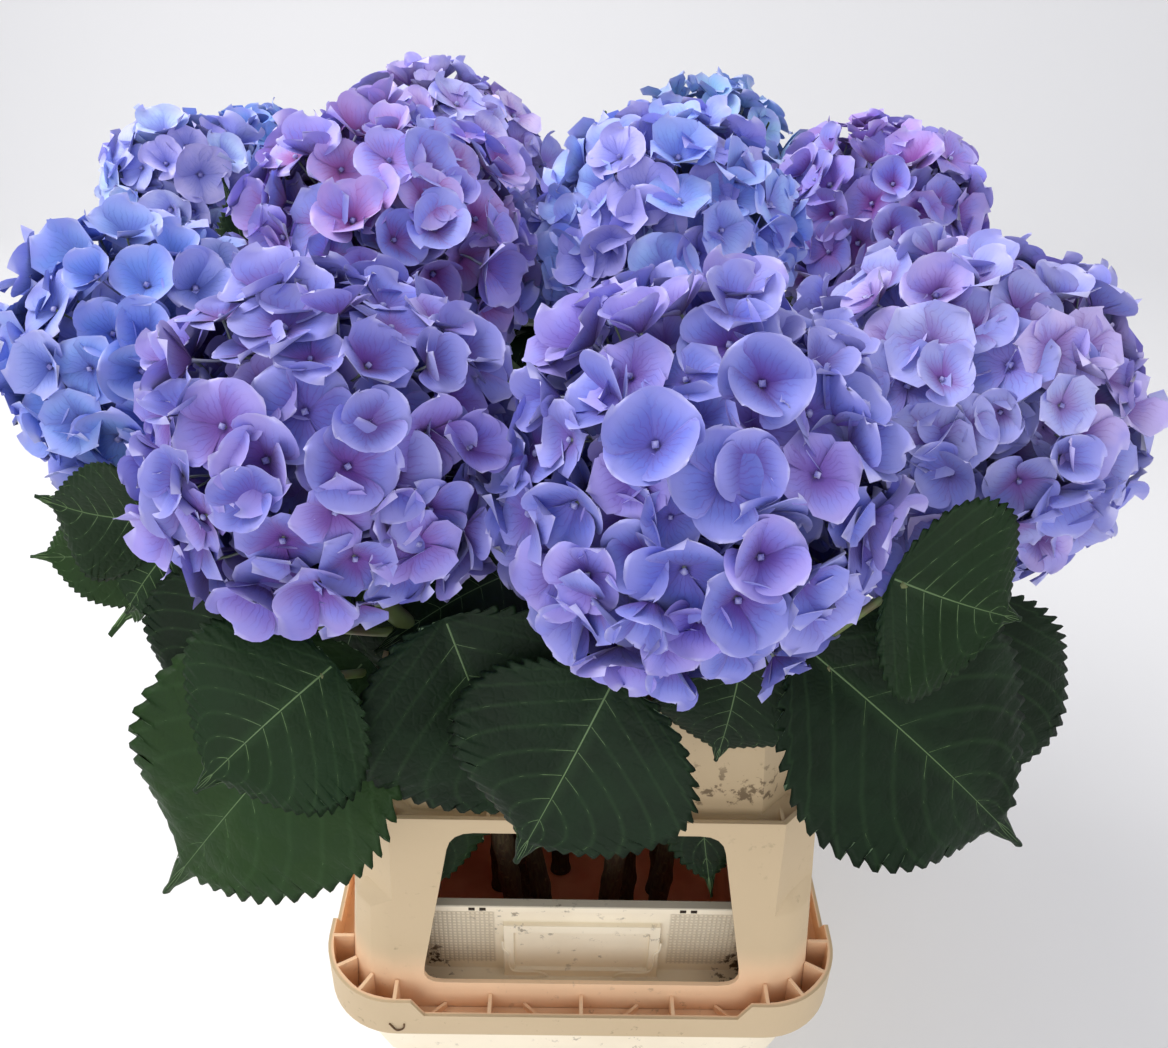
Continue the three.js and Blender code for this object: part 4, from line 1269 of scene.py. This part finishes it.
def round_corners(shape):
    """Cuts the flange's corner facets finer and pushes their middles out to the arc."""
    facet, cuts = CORNER["facet"], CORNER["cuts"]
    turns = [facet * i / cuts for i in range(1, 90 * cuts // facet) if i % cuts]
    for sx, sy in ((-1, -1), (-1, 1), (1, -1), (1, 1)):
        centre = Vector((sx * CORNER["x"], sy * CORNER["y"], 0))
        for angle in map(math.radians, turns):
            faces = [face for face in shape.faces
                     if any(in_corner(vert.co) and vert.co.x * sx > 0 and vert.co.y * sy > 0
                            for vert in face.verts)]
            edges = {edge for face in faces for edge in face.edges}
            verts = {vert for face in faces for vert in face.verts}
            across = Vector((-sx * math.sin(angle), sy * math.cos(angle), 0))
            bmesh.ops.bisect_plane(shape, geom=[*faces, *edges, *verts], dist=0.000001,
                                   plane_co=centre, plane_no=across)
    half = math.cos(math.radians(facet / 2))
    for vert in filter(lambda vert: in_corner(vert.co), shape.verts):
        past = [max(abs(vert.co[i]) - CORNER["xy"[i]], 0) for i in (0, 1)]
        turned = math.degrees(math.atan2(past[1], past[0]))
        aside = math.radians(turned - facet * (turned // facet) - facet / 2)
        push = math.cos(aside) / half - 1
        push *= min((math.hypot(*past) - CORNER["inner"]) / CORNER["soft"], 1)
        for i in (0, 1):
            vert.co[i] += math.copysign(past[i] * push, vert.co[i])


def refined(nodes, name, materials, bevel, slot_of=None, shaped=None):
    """Moulded CAD solids copied into one mesh, with merged faces and rounded edges."""
    shape = bmesh.new()
    for node in nodes:
        shape.from_mesh(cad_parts[node].data)
    bmesh.ops.remove_doubles(shape, verts=shape.verts, dist=0.00002)
    bmesh.ops.dissolve_limit(shape, angle_limit=math.radians(1.0), verts=shape.verts,
                             edges=shape.edges)
    if shaped:
        shaped(shape)
    mesh = bpy.data.meshes.new(name)
    shape.to_mesh(mesh)
    shape.free()
    for material in materials:
        mesh.materials.append(material)
    for polygon in mesh.polygons:
        polygon.use_smooth = True
        polygon.material_index = slot_of(polygon) if slot_of else 0
    made = placed(name, mesh)
    edge = made.modifiers.new("Edges", "BEVEL")
    edge.width, edge.segments = bevel, 2
    edge.limit_method, edge.angle_limit = "ANGLE", math.radians(40)
    edge.harden_normals = False
    weigh = made.modifiers.new("Normals", "WEIGHTED_NORMAL")
    weigh.keep_sharp = False
    return made


# The notched lip on each side of the label holder, in millimetres: across and up.
HOLDER = {
    "y": -0.1582, "thick": 0.0007,
    "lip": ((44.5, 208), (44, 201), (41.5, 198), (41.2, 187), (39, 181.5), (25, 180.5), (21, 179),
            (19, 176.5)),
}
# The dark blocks of painted shade in the slots of the tub's lip: their middles, half their width,
# and from and to in depth and height.
SLOTS = {"x": (-0.061, -0.055, 0.055, 0.061), "half": 0.0017, "y": (-0.1583, -0.1572),
         "z": (0.2345, 0.2366)}
STAPLE = ((-0.104, -0.1952, 0.1865), (-0.1, -0.1958, 0.1815), (-0.0965, -0.1956, 0.183),
          (-0.096, -0.195, 0.1865))
# Where the tub's inside, painted orange for the glow of light through the plastic, begins: under
# its rim, and within its outer walls.
LINED = {"x": 0.12, "y": 0.157, "floor": 0.01, "below": 0.19}


def slab(skin, low, high):
    """A closed block between two corners."""
    (x0, y0, z0), (x1, y1, z1) = low, high
    ring = [(x0, y0), (x1, y0), (x1, y1), (x0, y1)]
    points = np.array([[(x, y, z) for x, y in ring] for z in (z0, z1)])
    index = skin.grid(points, np.zeros(2), closed=True)
    skin.cap(index[0, -2::-1])
    skin.cap(index[1, :-1])


class HYDRANGEA_OT_bucket(bpy.types.Operator):
    """Builds the bucket and its windowed collar"""

    bl_idname = "hydrangea.bucket"
    bl_label = "Bucket"

    def execute(self, context):
        settings = context.scene.hydrangea_bucket
        cream, peach_glow = tuple(settings.cream), tuple(settings.peach_glow)
        collar = plastic_finish("collar_plastic", cream, 0.4, collar_detail(peach_glow))
        # The tub's cream is lifted near white by painted light, against the collar's shade.
        tub = plastic_finish("tub_plastic", tuple(settings.tub), 0.6, tub_detail)
        # Painted light: the orange of the tub's inside stands for light glowing through the plastic
        # and bouncing between its walls.
        inside = plain_finish("tub_inside_glow", tuple(settings.inside), tone("E88B60"), 25.0, 0.5)

        def lined(polygon):
            centre, normal = polygon.center, polygon.normal
            floor = normal.z > 0.9 and centre.z < LINED["floor"]
            inward = -(centre.x * normal.x + centre.y * normal.y) / math.hypot(centre.x, centre.y)
            wall = inward > 0.3 and centre.z < LINED["below"]
            within = abs(centre.y) < LINED["y"] and abs(centre.x) < LINED["x"]
            return int(floor or (wall and within))

        made = refined(["bucket"], "tub", [tub, inside], settings.bevel, lined)
        dress(made, "bucket_plastic", "bucket")
        parts = ["collar_flange", "collar_sleeve", "collar_neck"]
        made = refined(parts, "windowed_collar", [collar], settings.bevel, shaped=round_corners)
        dress(made, "collar_plastic", *parts)
        self.fittings(tub)
        return {"FINISHED"}

    def fittings(self, tub):
        """The label holder's notched lips, dark blocks of painted shade in the slots of the tub's
        lip, and a staple in the band.
        """
        lips = Skin()
        for side in (-1, 1):
            path = [(side * x / 1000, HOLDER["y"], z / 1000) for x, z in HOLDER["lip"]]
            tube(lips, Line(path, 20).part(0, 1, 26), HOLDER["thick"], 8)
        dress(lips.piece("holder_lips", [tub]), "bucket_plastic")
        slots = Skin()
        (y0, y1), (z0, z1) = SLOTS["y"], SLOTS["z"]
        for x in SLOTS["x"]:
            slab(slots, (x - SLOTS["half"], y0, z0), (x + SLOTS["half"], y1, z1))
        # Painted shade: dark blocks set into the slots, where the openings in the lip lie in
        # shadow.
        slot_shadow = plain_finish("slot", tone("3A2C1E"), tone("241A12"), 300.0, 0.8)
        dress(slots.piece("lip_slots", [slot_shadow]), "bucket_plastic")
        staple = Skin()
        tube(staple, Line(STAPLE, 16).part(0, 1, 14), 0.0005, 8)
        rust = plain_finish("staple", tone("6B4A24"), tone("4A3018"), 500.0, 0.6)
        dress(staple.piece("band_staple", [rust]), "collar_plastic")


# ---- stage


# The lamps: where they are, how wide they are and their share of the main lamp's power.
LAMPS = {
    "key": ((-1.1, 0.2, 1.8), 1.3, 1.0),
    "fill": ((-0.4, -1.6, 0.8), 1.2, 0.27),
    "bounce": ((2.0, -0.3, 1.3), 2.0, 0.28),
}


class HYDRANGEA_OT_stage(bpy.types.Operator):
    """Builds the camera, the pale floor with its backdrop and the soft lights"""

    bl_idname = "hydrangea.stage"
    bl_label = "Stage"

    def execute(self, context):
        settings = context.scene.hydrangea_stage
        self.camera(context)
        self.floor(tuple(settings.floor))
        world = bpy.data.worlds.new("Sky")
        world.use_nodes = True
        sky = world.node_tree.nodes["Background"]
        sky.inputs["Color"].default_value = tone("F2F4FA")
        sky.inputs["Strength"].default_value = settings.sky
        context.scene.world = world
        for name, (place, size, share) in LAMPS.items():
            self.lamp(name, place, size, settings.key * share)
        context.scene.view_settings.view_transform = "Standard"
        return {"FINISHED"}

    def camera(self, context):
        down, yaw, roll = (math.radians(VIEW[key]) for key in ("down", "yaw", "roll"))
        ahead = Vector((math.sin(yaw) * math.cos(down), math.cos(yaw) * math.cos(down),
                        -math.sin(down)))
        right = Vector((math.cos(yaw), -math.sin(yaw), 0))
        up = right.cross(ahead)
        side = right * math.cos(roll) + up * math.sin(roll)
        top = up * math.cos(roll) - right * math.sin(roll)
        data = bpy.data.cameras.new("view")
        data.lens, data.sensor_width = VIEW["lens"], 36
        camera = placed("view", data)
        turn = Matrix((side, top, -ahead)).transposed()
        camera.matrix_world = Matrix.Translation(VIEW["at"]) @ turn.to_4x4()
        context.scene.camera = camera

    def floor(self, colour):
        """A floor that sweeps up into a wall behind."""
        reach, back, bend = 4.0, 1.6, 0.5
        arc = [(back + bend * math.sin(a), bend * (1 - math.cos(a)))
               for a in np.linspace(0, math.pi / 2, 12)]
        profile = [(-reach, 0.0), *arc, (back + bend, reach)]
        points = np.array([[(x, y, z) for x in (-reach, reach)] for y, z in profile])
        skin = Skin()
        skin.grid(points, np.zeros(2), turned=True)
        matt = plain_finish("backdrop", colour, colour, 2.0, 0.9, 0.0)
        skin.piece("backdrop", [matt])

    def lamp(self, name, place, size, power):
        data = bpy.data.lights.new(name, "AREA")
        data.size, data.energy = size, power
        lamp = placed(name, data)
        lamp.location = place
        toward = Vector((0, 0, 0.4)) - lamp.location
        lamp.rotation_euler = toward.to_track_quat("-Z", "Y").to_euler()


# ---- panel and registration

STEPS = ("stage", "bucket", "stems", "leaves", "blooms")


class HYDRANGEA_PT_panel(bpy.types.Panel):
    """The bunch's settings and the steps that build it"""

    bl_idname = "HYDRANGEA_PT_panel"
    bl_label = "Hydrangeas"
    bl_space_type = "VIEW_3D"
    bl_region_type = "UI"
    bl_category = "Hydrangeas"

    def draw(self, context):
        for step in STEPS:
            box = self.layout.box()
            box.operator(f"hydrangea.{step}")
            settings = getattr(context.scene, f"hydrangea_{step}", None)
            if settings:
                for key in type(settings).__annotations__:
                    box.prop(settings, key)


SETTINGS = {
    "blooms": BloomSettings, "leaves": LeafSettings, "bucket": BucketSettings,
    "stage": StageSettings,
}
CLASSES = (
    *SETTINGS.values(), HYDRANGEA_OT_stage, HYDRANGEA_OT_bucket, HYDRANGEA_OT_stems,
    HYDRANGEA_OT_leaves, HYDRANGEA_OT_blooms, HYDRANGEA_PT_panel,
)


def register():
    for kind in CLASSES:
        bpy.utils.register_class(kind)
    for key, group in SETTINGS.items():
        setattr(bpy.types.Scene, f"hydrangea_{key}", PointerProperty(type=group))


def unregister():
    for key in SETTINGS:
        delattr(bpy.types.Scene, f"hydrangea_{key}")
    for kind in reversed(CLASSES):
        bpy.utils.unregister_class(kind)


def main():
    register()
    for step in STEPS:
        getattr(bpy.ops.hydrangea, step)()


if __name__ == "__main__":
    main()
